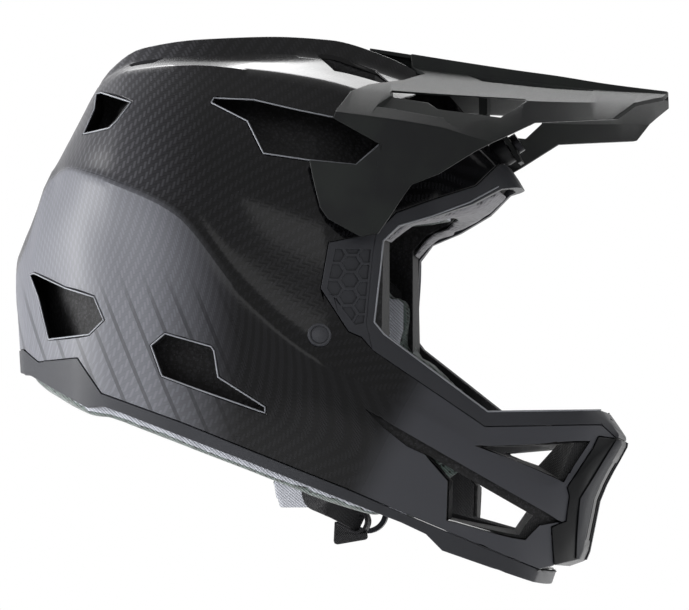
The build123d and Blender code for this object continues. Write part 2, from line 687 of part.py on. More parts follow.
with BuildPart() as peak:
    add(peak_solid)
    add(side_block(spots(wing_px), 0, shell_width), mode=Mode.INTERSECT)
    add(plan_block(shared(notch_shares), notch_level, shell_height), mode=Mode.SUBTRACT)
    add(plan_block(shared(front_shares), -shell_height, shell_height), mode=Mode.SUBTRACT)
    add(side_block(spots(wing_slot_px), wing_slot_reach, shell_width), mode=Mode.SUBTRACT)
    add(plan_block(shared(spine_slot_shares), notch_level, shell_height), mode=Mode.SUBTRACT)
    for side in (-1, 1):
        with Locations(Location((pivot_x, side * socket_end, pivot_z), (-90 * side, 0, 0))):
            Cylinder(pin_radius + socket_wall, pin_top - socket_end + peak_wall / 2,
                     align=(Align.CENTER, Align.CENTER, Align.MIN))
        with Locations(Location((pivot_x, side * (socket_end - peak_wall), pivot_z),
                                (-90 * side, 0, 0))):
            Cylinder(pin_radius + run_gap, pin_top + run_gap - socket_end + peak_wall,
                     align=(Align.CENTER, Align.CENTER, Align.MIN), mode=Mode.SUBTRACT)
save(peak.part, "peak")

# The slotted tongue under the peak, which the adjuster screw clamps at the forehead
with BuildPart() as peak_tongue:
    with BuildSketch(Plane.XZ.offset(-tongue_width / 2)):
        with BuildLine():
            Polyline(*tongue_outline(tongue_radius, tongue_radius + tongue_wall, tongue_low_turn,
                                     tongue_high_turn), close=True)
        make_face()
    extrude(amount=tongue_width)
    web_x, web_z = turned_spot(tongue_radius + tongue_wall / 2, tongue_high_turn)
    with Locations((web_x, 0, web_z)):
        Box(2 * tongue_wall, tongue_width, tongue_level - web_z + tongue_wall,
            align=(Align.CENTER, Align.CENTER, Align.MIN))
    add(peak_space, mode=Mode.INTERSECT)
    with BuildSketch(Plane.XZ.offset(-screw_radius - fit_gap)):
        with BuildLine():
            Polyline(*tongue_outline(tongue_radius - tongue_wall, tongue_radius + 2 * tongue_wall,
                                     adjuster_turn - slot_spare,
                                     adjuster_turn + tilt_range + slot_spare), close=True)
        make_face()
    extrude(amount=2 * (screw_radius + fit_gap), mode=Mode.SUBTRACT)
save(peak_tongue.part, "peak_tongue")

# The adjuster: a boss on the forehead, a screw through the tongue's slot and a nut inside
seat = body(-fit_gap)
with BuildPart() as peak_boss:
    add(rod(on_adjuster(tongue_radius - boss_depth), boss_radius, boss_depth - 2 * run_gap))
    add(seat, mode=Mode.SUBTRACT)
    add(eyeport_cut, mode=Mode.SUBTRACT)
    add(screw_hole, mode=Mode.SUBTRACT)
save(peak_boss.part, "peak_adjuster_boss")
head_seat = tongue_radius + tongue_wall + run_gap
with BuildPart() as peak_screw:
    add(rod(on_adjuster(screw_start + fit_gap), screw_radius, head_seat - screw_start))
    add(rod(on_adjuster(head_seat), screw_head_radius, screw_head_height))
    with BuildSketch(on_adjuster(head_seat + screw_head_height)):
        RegularPolygon(screw_radius, 6)
    extrude(amount=-screw_head_height / 2, mode=Mode.SUBTRACT)
save(peak_screw.part, "peak_adjuster_screw")
with BuildPart() as peak_nut:
    add(rod(on_adjuster(screw_start), nut_radius, screw_depth))
    add(lining_skin, mode=Mode.INTERSECT)
    add(screw_hole, mode=Mode.SUBTRACT)
save(peak_nut.part, "peak_adjuster_nut")

# The studs on the shell that the wings' sockets turn on
with BuildPart() as pivot_studs:
    for side in (-1, 1):
        with Locations(Location((pivot_x, side * (flange_top - flange_radius), pivot_z),
                                (-90 * side, 0, 0))):
            Cylinder(flange_radius, flange_radius, align=(Align.CENTER, Align.CENTER, Align.MIN))
        with Locations(Location((pivot_x, side * flange_top, pivot_z), (-90 * side, 0, 0))):
            Cylinder(pin_radius, pin_top - flange_top,
                     align=(Align.CENTER, Align.CENTER, Align.MIN))
    add(seat, mode=Mode.SUBTRACT)
save(pivot_studs.part, "peak_pivot_studs")

# The webbing chin strap, its comfort pads, rivets and caps
with BuildPart() as strap_right:
    add(strap_right_form)
    with Locations(Location((cap_x, 0, cap_z), (90, 0, 0))):
        Cylinder(rivet_radius + fit_gap, shell_width, mode=Mode.SUBTRACT)
save(strap_right.part, "chin_strap_right")
save(banded(pathed(fold_path_shares), strap_wall, strap_width, 0, False), "chin_strap_fold")
save(banded(pathed(pad_path_shares), strap_pad_wall, strap_pad_width, 0, True), "strap_pad_right")
save(banded(pathed(left_pad_path_shares), strap_pad_wall, strap_pad_width, 0, True), "strap_pad_left")

with BuildPart() as strap_rivets:
    for side in (-1, 1):
        with Locations(Location((cap_x, side * rivet_start, cap_z), (-90 * side, 0, 0))):
            Cylinder(rivet_radius, cap_y, align=(Align.CENTER, Align.CENTER, Align.MIN))
    add(skin, mode=Mode.INTERSECT)
save(strap_rivets.part, "strap_rivets")
with BuildPart() as strap_caps:
    for side in (-1, 1):
        with Locations(Location((cap_x, side * (cap_y - cap_reach), cap_z), (-90 * side, 0, 0))):
            Cylinder(cap_radius, 2 * cap_reach, align=(Align.CENTER, Align.CENTER, Align.MIN))
    add(seat, mode=Mode.SUBTRACT)
    add(body(-fit_gap - cap_wall), mode=Mode.INTERSECT)
save(strap_caps.part, "strap_rivet_caps")

# The padding inside the crown: two crossed strips and a band at the forehead
with BuildPart() as crown_pad:
    with Locations((0, 0, pad_low)):
        Box(2 * (head_half_length - strip_end), 2 * strip_half, shell_height,
            align=(Align.CENTER, Align.CENTER, Align.MIN))
        Box(2 * strip_half, shell_width, shell_height,
            align=(Align.CENTER, Align.CENTER, Align.MIN))
    add(head_form(pad_gap), mode=Mode.INTERSECT)
    add(head_form(crown_pad_wall), mode=Mode.SUBTRACT)
save(crown_pad.part, "crown_pad")

with BuildPart() as forehead_pad:
    with Locations((head_half_length - forehead_depth, 0, forehead_low)):
        Box(shell_length, 2 * (head_half_width - forehead_inset), forehead_high - forehead_low,
            align=(Align.MIN, Align.CENTER, Align.MIN))
    add(head_form(pad_gap), mode=Mode.INTERSECT)
    add(head_form(crown_pad_wall), mode=Mode.SUBTRACT)
save(forehead_pad.part, "forehead_pad")

# The brow's padded edge, under the liner and behind the rubber lip
with BuildPart() as brow_pad:
    add(core_skin)
    add(brow_block, mode=Mode.INTERSECT)
    add(head_room, mode=Mode.SUBTRACT)
    add(eyeport_cut, mode=Mode.INTERSECT)
    add(face_block, mode=Mode.INTERSECT)
    with Locations((0, 0, eye_level)):
        Box(2 * shell_length, shell_width, shell_height,
            align=(Align.CENTER, Align.CENTER, Align.MAX), mode=Mode.SUBTRACT)
save(brow_pad.part, "brow_pad")

# The padded roll along the lower edge, from the neck to the jaw
neck_points = spots(base_line_px)[:8]
roll_points = spots(trim_edge_px)[4:]
neck_block = side_block([*raised(neck_points, -run_gap), *raised(roll_points, -roll_drop)],
                        0, shell_width)
with BuildPart() as neck_roll:
    add(core_skin)
    add(head_room, mode=Mode.SUBTRACT)
    add(neck_block, mode=Mode.INTERSECT)
    add(strap_left_way, mode=Mode.SUBTRACT)
    add(strap_right_way, mode=Mode.SUBTRACT)
    add(pad_right_way, mode=Mode.SUBTRACT)
    add(pad_left_way, mode=Mode.SUBTRACT)
    with Locations((liner_front, 0, 0)):
        Box(shell_length, shell_width, 3 * shell_height,
            align=(Align.MIN, Align.CENTER, Align.CENTER), mode=Mode.SUBTRACT)
save(neck_roll.part, "neck_roll")

# The cheek pads: a foam core on each side, and a soft pad that snaps to its inside
core_outline_shares = ((-0.061, -0.091), (0.144, -0.073), (0.175, -0.104), (0.175, -0.470),
                       (-0.040, -0.400))
pad_outline_shares = ((-0.061, -0.091), (0.144, -0.073), (0.206, -0.104), (0.222, -0.189),
                      (0.350, -0.305), (0.328, -0.427), (0.183, -0.500), (-0.040, -0.405))
pad_plan_shares = ((-0.070, 0.211), (0.083, 0.195), (0.208, 0.211), (0.338, 0.222),
                   (0.338, 0.229), (0.264, 0.281), (0.196, 0.308), (0.186, 0.226),
                   (0.150, 0.240), (-0.070, 0.244))


def outlined(shares):
    """An outline from the side, from its shares of the shell's length and height."""
    return [(along * shell_length, up * shell_height) for along, up in shares]


for side, name in ((-1, "right"), (1, "left")):
    with BuildPart() as cheek_core:
        add(side_block(outlined(core_outline_shares), core_face, shell_width))
        add(head_form(pad_gap), mode=Mode.INTERSECT)
        with Locations((0, -side * shell_width / 2, 0)):
            Box(2 * shell_length, shell_width, 3 * shell_height, mode=Mode.SUBTRACT)
        add(strap_left_way, mode=Mode.SUBTRACT)
        add(strap_right_way, mode=Mode.SUBTRACT)
        add(base_cut, mode=Mode.SUBTRACT)
    save(cheek_core.part, "cheek_core_" + name)
    with BuildPart() as cheek_pad:
        add(side_block(outlined(pad_outline_shares), 0, shell_width))
        add(plan_block(shared(pad_plan_shares), -shell_height, 0), mode=Mode.INTERSECT)
        with Locations((0, -side * shell_width / 2, 0)):
            Box(2 * shell_length, shell_width, 3 * shell_height, mode=Mode.SUBTRACT)
    save(cheek_pad.part, "cheek_pad_" + name)

snap_place_shares = ((0.020, -0.150), (0.130, -0.160), (0.080, -0.330))
with BuildPart() as cheek_snaps:
    for along_share, up_share in snap_place_shares:
        for side in (-1, 1):
            with Locations(Location((along_share * shell_length, side * (pad_face + fit_gap),
                                     up_share * shell_height), (-90 * side, 0, 0))):
                Cylinder(snap_radius, core_face - pad_face - 2 * fit_gap,
                         align=(Align.CENTER, Align.CENTER, Align.MIN))
save(cheek_snaps.part, "cheek_pad_snaps")

# The two D-rings in the hem at the left strap's end. Each is a flat loop with a round bar on top
hem_x, hem_y, hem_z = pathed(left_path_shares)[-1]
hem_y -= ring_apart
hem_room_width = ring_apart + ring_wall + 2 * run_gap
hem_room_height = ring_wall + 2 * run_gap
with BuildPart() as strap_hem:
    with Locations((hem_x, hem_y, hem_z)):
        Box(strap_width, hem_room_width + 2 * hem_wall, hem_room_height + 2 * hem_wall)
        Box(2 * strap_width, hem_room_width, hem_room_height, mode=Mode.SUBTRACT)
with BuildPart() as strap_left:
    add(strap_left_form)
    with Locations((hem_x, hem_y, hem_z)):
        Box(2 * strap_width, hem_room_width + hem_wall, hem_room_height + hem_wall,
            mode=Mode.SUBTRACT)
    add(strap_hem.part)
    with Locations(Location((cap_x, 0, cap_z), (90, 0, 0))):
        Cylinder(rivet_radius + fit_gap, shell_width, mode=Mode.SUBTRACT)
save(strap_left.part, "chin_strap_left")

for side, name in ((-1, "d_ring_inner"), (1, "d_ring_outer")):
    middle = hem_y + side * ring_apart / 2
    with BuildPart() as d_ring:
        with BuildSketch(Plane.XZ.offset(-middle - ring_wall / 2)):
            with BuildLine():
                Polyline((hem_x - ring_half, hem_z + ring_wall / 2),
                         (hem_x + ring_half, hem_z + ring_wall / 2))
                ThreePointArc((hem_x + ring_half, hem_z + ring_wall / 2),
                              (hem_x, hem_z - ring_drop),
                              (hem_x - ring_half, hem_z + ring_wall / 2))
            make_face()
            offset(amount=-ring_band, mode=Mode.SUBTRACT)
        extrude(amount=ring_wall)
        with Locations((hem_x, middle, hem_z)):
            Box(strap_width + 2 * run_gap, 2 * ring_wall, 2 * ring_band, mode=Mode.SUBTRACT)
        with Locations(Location((hem_x, middle, hem_z), (0, 90, 0))):
            Cylinder(ring_wall / 2, strap_width + ring_band)
    save(d_ring.part, name)

# The folded tab at the right strap's end
tab_y = fold_path_shares[0][1] * shell_width - strap_width / 2 - fit_gap - tab_wall / 2
with BuildPart() as strap_tab:
    with Locations((fold_path_shares[5][0] * shell_length, tab_y, tab_top_share * shell_height)):
        Box(strap_width, tab_wall, tab_height, align=(Align.CENTER, Align.CENTER, Align.MAX))
save(strap_tab.part, "chin_strap_tab")
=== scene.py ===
import bmesh
import bpy
import math
import numpy as np
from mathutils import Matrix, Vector
from mathutils.bvhtree import BVHTree


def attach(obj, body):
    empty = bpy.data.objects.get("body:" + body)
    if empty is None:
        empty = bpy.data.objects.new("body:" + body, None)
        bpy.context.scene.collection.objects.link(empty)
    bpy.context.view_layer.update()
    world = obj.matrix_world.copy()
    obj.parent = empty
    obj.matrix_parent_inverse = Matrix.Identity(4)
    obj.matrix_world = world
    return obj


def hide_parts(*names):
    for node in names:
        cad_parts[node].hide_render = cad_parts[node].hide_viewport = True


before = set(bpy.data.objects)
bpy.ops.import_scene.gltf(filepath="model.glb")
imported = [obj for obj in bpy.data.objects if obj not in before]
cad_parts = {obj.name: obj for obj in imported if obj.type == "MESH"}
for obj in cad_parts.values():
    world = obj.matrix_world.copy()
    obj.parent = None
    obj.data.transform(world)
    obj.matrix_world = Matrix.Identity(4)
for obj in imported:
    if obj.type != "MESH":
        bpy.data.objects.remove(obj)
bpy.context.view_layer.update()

# Sizes in metres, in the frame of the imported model
MM = 0.001
SHELL_LENGTH = 360 * MM
SHELL_WIDTH = 246 * MM
SHELL_HEIGHT = 328 * MM
SHELL_WALL = 2.6 * MM
TRIM_DEPTH = 6 * MM
TRIM_PROUD = 0.5 * MM
FAR = 400 * MM

# The photograph's view, for the camera and for outlines read from it
VIEW_TURN = math.radians(7.5)
VIEW_TILT = math.radians(-3.2)
VIEW_DISTANCE = 3200 * MM
VIEW_LENS = 278.7
PIXEL = 0.6 * MM
PHOTO_MIDDLE = (344.5, 305.0)
HEAD_PX = (290, 235)
LOOK_X = (PHOTO_MIDDLE[0] - HEAD_PX[0]) * PIXEL
LOOK_Z = (HEAD_PX[1] - PHOTO_MIDDLE[1]) * PIXEL
VIEW_RIGHT = Vector((math.cos(VIEW_TURN), math.sin(VIEW_TURN), 0))
VIEW_AWAY = Vector((math.sin(VIEW_TURN) * math.cos(VIEW_TILT), -math.cos(VIEW_TURN) * math.cos(VIEW_TILT),
                    math.sin(VIEW_TILT)))
VIEW_TARGET = Vector((LOOK_X, 0, LOOK_Z))

# The middle of the body's length and height, as shares measured from the head's middle
MIDDLE_SHARE = 0.053
LEVEL_SHARE = -0.136

# The body's cross-sections: how far along, then each corner of one half from the crest to the
# lower edge, as shares of the shell's length, width and height, in thousandths
BODY_SECTION_SHARES = (
    (-447, ((0, -24), (33, -26), (49, -27), (73, -30), (93, -34), (114, -40), (130, -52), (138, -64),
     (142, -76), (142, -104), (134, -128), (118, -146))),
    (-419, ((0, 37), (41, 35), (65, 34), (98, 30), (126, 26), (163, 15), (195, 0), (211, -15), (224, -30),
     (244, -85), (244, -146), (220, -341))),
    (-383, ((0, 131), (45, 130), (69, 128), (102, 125), (126, 122), (154, 116), (179, 110), (203, 98),
     (224, 85), (301, -6), (321, -128), (285, -381))),
    (-344, ((0, 223), (57, 220), (81, 213), (122, 204), (154, 192), (211, 165), (252, 137), (280, 116),
     (299, 104), (366, 0), (382, -146), (350, -399))),
    (-300, ((0, 305), (65, 302), (89, 290), (146, 277), (183, 259), (264, 201), (325, 149), (362, 104),
     (380, 91), (419, -12), (435, -171), (402, -418))),
    (-244, ((0, 346), (69, 343), (98, 317), (171, 303), (222, 291), (321, 213), (382, 137), (417, 82),
     (433, 69), (455, -43), (467, -201), (431, -439))),
    (-144, ((0, 361), (71, 358), (102, 326), (189, 310), (248, 297), (354, 198), (421, 104), (455, 30),
     (472, 15), (488, -98), (494, -244), (451, -482))),
    (-33, ((0, 364), (73, 361), (106, 326), (195, 303), (264, 284), (374, 177), (439, 67), (476, -110),
     (490, -128), (498, -213), (496, -314), (455, -524))),
    (72, ((0, 349), (69, 354), (102, 319), (190, 287), (262, 263), (362, 152), (431, 30), (480, -213),
     (492, -229), (494, -299), (486, -378), (443, -573))),
    (167, ((0, 308), (49, 323), (77, 293), (172, 257), (238, 231), (321, 122), (386, 0), (445, -274),
     (455, -290), (457, -351), (447, -421), (407, -619))),
    (256, ((0, 244), (45, 264), (69, 248), (148, 216), (196, 192), (264, 95), (325, -24), (390, -326),
     (400, -338), (402, -399), (394, -466), (358, -674))),
    (322, ((0, 168), (45, 177), (65, 171), (118, 149), (142, 128), (195, 61), (301, -213), (341, -366),
     (352, -378), (356, -436), (350, -497), (317, -710))),
    (392, ((0, 76), (28, 76), (45, 75), (69, 67), (85, 58), (118, 6), (252, -274), (285, -418), (297, -430),
     (305, -476), (301, -537), (268, -732))),
    (450, ((0, -137), (24, -140), (41, -143), (61, -152), (81, -168), (130, -229), (211, -299), (244, -451),
     (252, -463), (252, -506), (225, -565), (145, -652))),
    (490, ((0, -247), (21, -248), (38, -250), (55, -253), (75, -258), (136, -283), (185, -313), (203, -434),
     (208, -445), (205, -484), (178, -530), (110, -574))),
    (507, ((0, -284), (19, -285), (35, -286), (51, -287), (70, -289), (131, -304), (169, -323), (183, -415),
     (186, -421), (184, -440), (165, -462), (110, -483))),
    (553, ((0, -348), (12, -348), (24, -348), (37, -349), (53, -350), (81, -355), (102, -360), (113, -368),
     (115, -371), (114, -376), (106, -381), (89, -386))),
)

# How sharp the body's surface turns at each corner of a section, and the steps between corners
CORNER_SHARPNESS_SHARES = (0.0, 0.9, 0.85, 0.9, 0.92, 0.0, 0.0, 0.75, 0.75, 0.0, 0.0, 1.0)
CORNER_STEPS = (4, 3, 5, 3, 7, 7, 7, 2, 7, 8, 14)
CREASE_CORNER = 7
CREST_CORNER = 4

# Outlines read from the photograph: across, down, and how far before the middle plane, in mm
EYEPORT_RIM_PX = (
    (381.4, 260.7, 95), (383, 241, 95), (398.6, 225.8, 91), (432.3, 216, 82),
    (470, 202, 68), (498.2, 186.5, 48), (523, 188, 10), (560, 176, 0),
    (720, 176, 0), (720, 437, 0), (622, 437, 14), (600.6, 410, 42),
    (487.6, 411.4, 72), (384, 334, 100), (374.3, 322, 103))
EYEPORT_TRIM_PX = (
    (373, 252, 98), (375.5, 233, 97), (394.4, 211.7, 92), (471.5, 183, 66),
    (498.2, 164, 22), (560, 150, 0), (740, 150, 0), (740, 452, 0),
    (617, 438.8, 22), (600.6, 424.6, 44), (485.4, 426.8, 74), (373, 350, 103),
    (366.5, 324, 104))
TEMPLE_PANEL_PX = (
    (330, 243, 102), (375.5, 233, 97), (373, 252, 98), (366.5, 324, 104),
    (373, 350, 103), (362, 337.5, 105), (349, 332, 107), (321.5, 289, 108))
BASE_LINE_PX = (
    (16, 352, 0), (36, 352, 20), (48, 364, 45), (85, 359.5, 80),
    (106, 394, 95), (185, 423, 110), (345, 488, 115), (400, 511.6, 104),
    (538, 569, 62), (556, 571.5, 46), (680, 571.5, 46))
TRIM_EDGE_PX = (
    (545, 584.5, 42), (540, 584.5, 46), (440.5, 551, 95), (424.5, 534.5, 98),
    (400, 523, 104), (250, 463, 114), (125.5, 414.5, 100), (107.5, 408, 95),
    (92.5, 409.5, 88), (39.5, 378.5, 40), (16, 372, 0))
MOUTH_COVER_PX = (
    (597.3, 435.5, 46), (618, 438.8, 22), (700, 438.8, 0), (700, 559.5, 0),
    (580, 559.5, 30), (553.4, 566, 50), (551, 526.6, 60), (565.5, 521, 55),
    (568.8, 496, 56), (566.6, 487, 57), (591.8, 447.6, 48))
SIDE_WINDOW_PX = (
    (211.4, 102.7, 74), (247.4, 121, 88), (263.4, 153.2, 100), (308.6, 160, 100),
    (356, 164.7, 96), (379.8, 144, 86), (333, 117, 74), (296.3, 109.6, 72),
    (253.5, 99.6, 72), (213.7, 98, 70))
UPPER_REAR_VENT_PX = (
    (96.2, 94, 45), (101, 92.6, 45), (131, 102.3, 62), (117, 120.7, 68),
    (109.4, 128, 68), (83.5, 134, 55), (94.4, 109, 52))
REAR_WINDOW_PX = (
    (30, 275, 40), (34, 273.3, 45), (65, 288, 80), (94, 297, 98),
    (103.6, 320, 104), (89, 334.5, 100), (48.5, 339.4, 72), (38.2, 297, 60))
SIDE_VENT_PX = (
    (151, 345.5, 118), (165, 333.5, 119), (211, 346.5, 121), (214, 351, 121),
    (218, 377, 121), (265, 407, 121), (265, 413, 121), (197, 389, 119),
    (162, 376, 117))
ARM_VENT_PX = ((481, 446.5, 72), (588.5, 442, 48), (563.3, 480.5, 60))
JAW_VENT_PX = (
    (426.2, 454.2, 95), (449.2, 480.5, 88), (448, 519, 90), (525, 538.7, 68),
    (542.5, 521, 62))
WING_PX = (
    (332.8, 118, 99), (336, 109, 96), (353.8, 87.2, 74), (353.8, 10, 74),
    (700, 10, 0), (700, 118.7, 0), (616, 118.7, 79), (533, 121, 88),
    (504, 136, 92), (475.7, 150, 97), (438.6, 173.3, 102), (411.2, 184.4, 104),
    (405.6, 192, 105), (379, 233.5, 108), (361, 237, 109), (328, 219, 108),
    (320, 207.5, 107), (313, 180, 105), (309, 160, 103), (356, 164.7, 103),
    (379.8, 144, 101))
WING_SLOT_PX = (
    (391, 91, 68), (393, 97.4, 76), (427.8, 102.5, 79), (437.3, 109, 84),
    (501, 117.2, 85), (520, 105, 76), (527, 99.6, 68))
STRAP_CAP_PX = (319.5, 335, 119)
CHIN_END_PX = ((559, 571.5, 52), (579, 564, 30), (700, 564, 0))
# Below the cover the chin draws back under a slope, and ends at a shallow arc, seen from below
CHIN_SLOPE_PX = ((580, 559.5, 20), (552, 567.5, 20))
CHIN_RAKE_PX = ((556.5, 571.5, 20), (552, 584.5, 20))
CHIN_TIP = 156.5 * MM
CHIN_RADIUS = 600 * MM
CHIN_STEP = 10 * MM
ARM_STEP_PX = (
    (366, 409, 108), (398.7, 428.4, 100), (545.8, 513.1, 70), (559, 521.5, 62),
    (541, 525, 64), (470, 500, 82), (426.2, 454.8, 96), (408, 446.5, 100),
    (385, 428, 105))
HEX_FIELD_PX = (
    (336.5, 249.5, 103), (370.5, 249.5, 100), (364.5, 323, 103), (356, 325, 104),
    (328.5, 289, 106))

# Openings seen from above, as shares of the shell's length and width
REAR_SLOT_SHARES = ((-0.262, 0.100), (-0.205, 0.100), (-0.215, 0.165), (-0.250, 0.165))
FRONT_SLOT_SHARES = ((0.055, 0.098), (0.150, 0.090), (0.185, 0.135), (0.090, 0.170))
NOTCH_SHARES = ((-0.2, 0.0), (0.205, 0.0), (0.205, 0.026), (0.232, 0.078), (0.203, 0.160),
                (0.152, 0.235), (0.132, 0.300), (-0.2, 0.300))
FRONT_SHARES = ((0.632, 0.0), (0.628, 0.100), (0.590, 0.232), (0.550, 0.330), (0.550, 0.600), (0.900, 0.600),
                (0.900, 0.0))
SPINE_SLOT_SHARES = ((0.302, 0.040), (0.330, 0.085), (0.445, 0.078), (0.510, 0.060), (0.510, 0.045))

# The peak's cross-sections: how far along, then each fold from the middle outwards, as shares in
# thousandths
PEAK_SECTION_SHARES = (
    (56, ((0, 357), (24, 357), (33, 332), (301, 256), (394, 207), (459, -61))),
    (167, ((0, 337), (24, 337), (33, 312), (297, 241), (394, 191), (459, -61))),
    (278, ((0, 316), (24, 316), (33, 294), (276, 233), (382, 171), (439, -30))),
    (389, ((0, 296), (24, 296), (33, 276), (260, 226), (366, 143), (390, 61))),
    (444, ((0, 287), (24, 287), (33, 268), (252, 223), (354, 155), (358, 91))),
    (528, ((0, 271), (24, 271), (33, 258), (240, 221), (333, 174), (337, 116))),
    (645, ((0, 254), (24, 253), (33, 248), (230, 220), (314, 191), (318, 142))),
)

# The straps' paths: how far along, out and up, as shares of the shell's sizes
STRAP_PATH_SHARES = ((0.083, -0.436, -0.165), (0.083, -0.443, -0.280), (0.079, -0.410, -0.420))
LEFT_PATH_SHARES = ((0.083, 0.436, -0.165), (0.083, 0.443, -0.280), (0.079, 0.410, -0.420),
                    (0.077, 0.392, -0.463), (0.110, 0.230, -0.492), (0.121, 0.110, -0.496))

# The right strap's lower edge as it hangs below the helmet, the loop that it folds into, and the
# folded tab at its end
STRAP_TURN_PX = (318.5, 499, 84)
STRAP_EDGE_PX = ((323, 514.5, 74), (334, 519.5, 64), (346, 526, 56), (356, 531, 52))
STRAP_LOOP_PX = (
    (338, 520, 46), (347, 517, 46), (357, 513.5, 46), (364.5, 513, 46), (367.8, 518.5, 46),
    (367.6, 524.5, 46), (364, 530.5, 46), (357, 532.5, 46), (348, 528, 46), (338, 523, 46))
STRAP_TAB_PX = (
    (334.8, 521, 52), (333.8, 541, 52), (334.8, 543.8, 52), (337.5, 544.5, 52), (366, 539.6, 52),
    (367.8, 537.6, 52), (366.6, 529.5, 52), (357.5, 532.6, 52))
TAB_HEM_PX = (
    (334, 535, 54), (333.8, 541, 54), (334.8, 543.8, 54), (337.5, 544.5, 54), (366, 539.6, 54),
    (367.8, 537.6, 54), (367.2, 533.2, 54))

# The inside of the chin bar from above, from its ends to the front
CHIN_SPACE_SHARES = ((0.10, 0.347), (0.16, 0.345), (0.25, 0.305), (0.32, 0.262), (0.37, 0.215),
                     (0.41, 0.150), (0.432, 0.080))
CHIN_SPACE_FRONT_SHARE = 0.437

# The vents' inner ends, where the woven walls leave an opening
ARM_INNER_PX = ((486, 448, 30), (557, 445, 30), (538, 466, 30))
JAW_INNER_PX = ((436, 458.5, 48), (453, 481, 48), (452, 512.5, 48), (514, 529.5, 48),
                (527, 510.5, 48))
# The rib down the chin cover
COVER_RIB_PX = ((617.5, 440.5, 24), (700, 440.5, 0), (700, 559, 0), (576, 559, 34),
                (582, 499, 40))


# Materials

def to_linear(code):
    """An sRGB hex colour as the linear values that a socket takes."""
    parts = [int(code[place:place + 2], 16) / 255 for place in (0, 2, 4)]
    linear = [part / 12.92 if part <= 0.04045 else ((part + 0.055) / 1.055) ** 2.4 for part in parts]
    return (*linear, 1.0)


def add_node(tree, kind, inputs=None, **settings):
    """Adds a node with its settings, and with a value or a link on each named input."""
    made = tree.nodes.new(kind)
    for name, value in settings.items():
        setattr(made, name, value)
    for name, value in (inputs or {}).items():
        if isinstance(value, bpy.types.NodeSocket):
            tree.links.new(value, made.inputs[name])
        else:
            made.inputs[name].default_value = value
    return made


def new_material(name, **sockets):
    """A material with its shader's own sockets set, and its tree and shader for patterns."""
    made = bpy.data.materials.new(name)
    made.use_nodes = True
    tree = made.node_tree
    shader = tree.nodes["Principled BSDF"]
    for socket, value in sockets.items():
        shader.inputs[socket.replace("_", " ")].default_value = value
    return made, tree, shader


def split(tree, vector):
    """A vector's X, Y and Z."""
    return add_node(tree, "ShaderNodeSeparateXYZ", {"Vector": vector}).outputs


def feed(shader, **sockets):
    """Links a value to each named socket of the shader."""
    for socket, value in sockets.items():
        shader.id_data.links.new(value, shader.inputs[socket.replace("_", " ")])


def math_node(tree, operation, first, second=0.0, third=0.0):
    """The result of one sum."""
    return add_node(tree, "ShaderNodeMath", {0: first, 1: second, 2: third},
                    operation=operation).outputs[0]


def mixed(tree, factor, first, second):
    """Two colours mixed by a factor, each a hex code or another node's result."""
    first, second = (to_linear(tone) if isinstance(tone, str) else tone for tone in (first, second))
    return add_node(tree, "ShaderNodeMix", {"Factor": factor, 6: first, 7: second},
                    data_type="RGBA").outputs[2]


def ranged(tree, value, low, high, to_low, to_high):
    """A value carried smoothly from one range to another."""
    return add_node(tree, "ShaderNodeMapRange",
                    {"Value": value, "From Min": low, "From Max": high, "To Min": to_low,
                     "To Max": to_high}, interpolation_type="SMOOTHSTEP").outputs["Result"]


def bumped(tree, shader, height, strength, distance):
    """Lets a pattern's height turn the shader's light."""
    made = add_node(tree, "ShaderNodeBump", {"Height": height, "Strength": strength,
                                             "Distance": distance})
    feed(shader, Normal=made.outputs["Normal"])


def noise_value(tree, vector, size, detail=2.0):
    """Noise whose grains are about this size in metres."""
    return add_node(tree, "ShaderNodeTexNoise", {"Vector": vector, "Scale": 1.0 / size,
                                                 "Detail": detail}).outputs["Fac"]


def ripple(tree, value, pitch):
    """Waves of this length."""
    return math_node(tree, "SINE", math_node(tree, "MULTIPLY", value, 2 * math.pi / pitch))


def object_place(tree):
    """The place on the object, in metres."""
    return add_node(tree, "ShaderNodeTexCoord").outputs["Object"]


# The carbon's pattern: a tow's width, where each zone fades in, and the rear's stripes
TOW = 2.3 * MM
REAR_FADE = (-8 * MM, -72 * MM)
CHIN_FADE = (122 * MM, 150 * MM)
UPPER_FADE = (-30 * MM, -100 * MM)
STRIPE_FADE = (-20 * MM, -60 * MM)
STRIPE_PITCH = 14 * MM
STRIPE_SHARE = 0.17
STRIPE_SLANT = 0.42
BAND_LEVEL = -146 * MM
BAND_HALF = 5 * MM
BAND_SLANT = 0.36


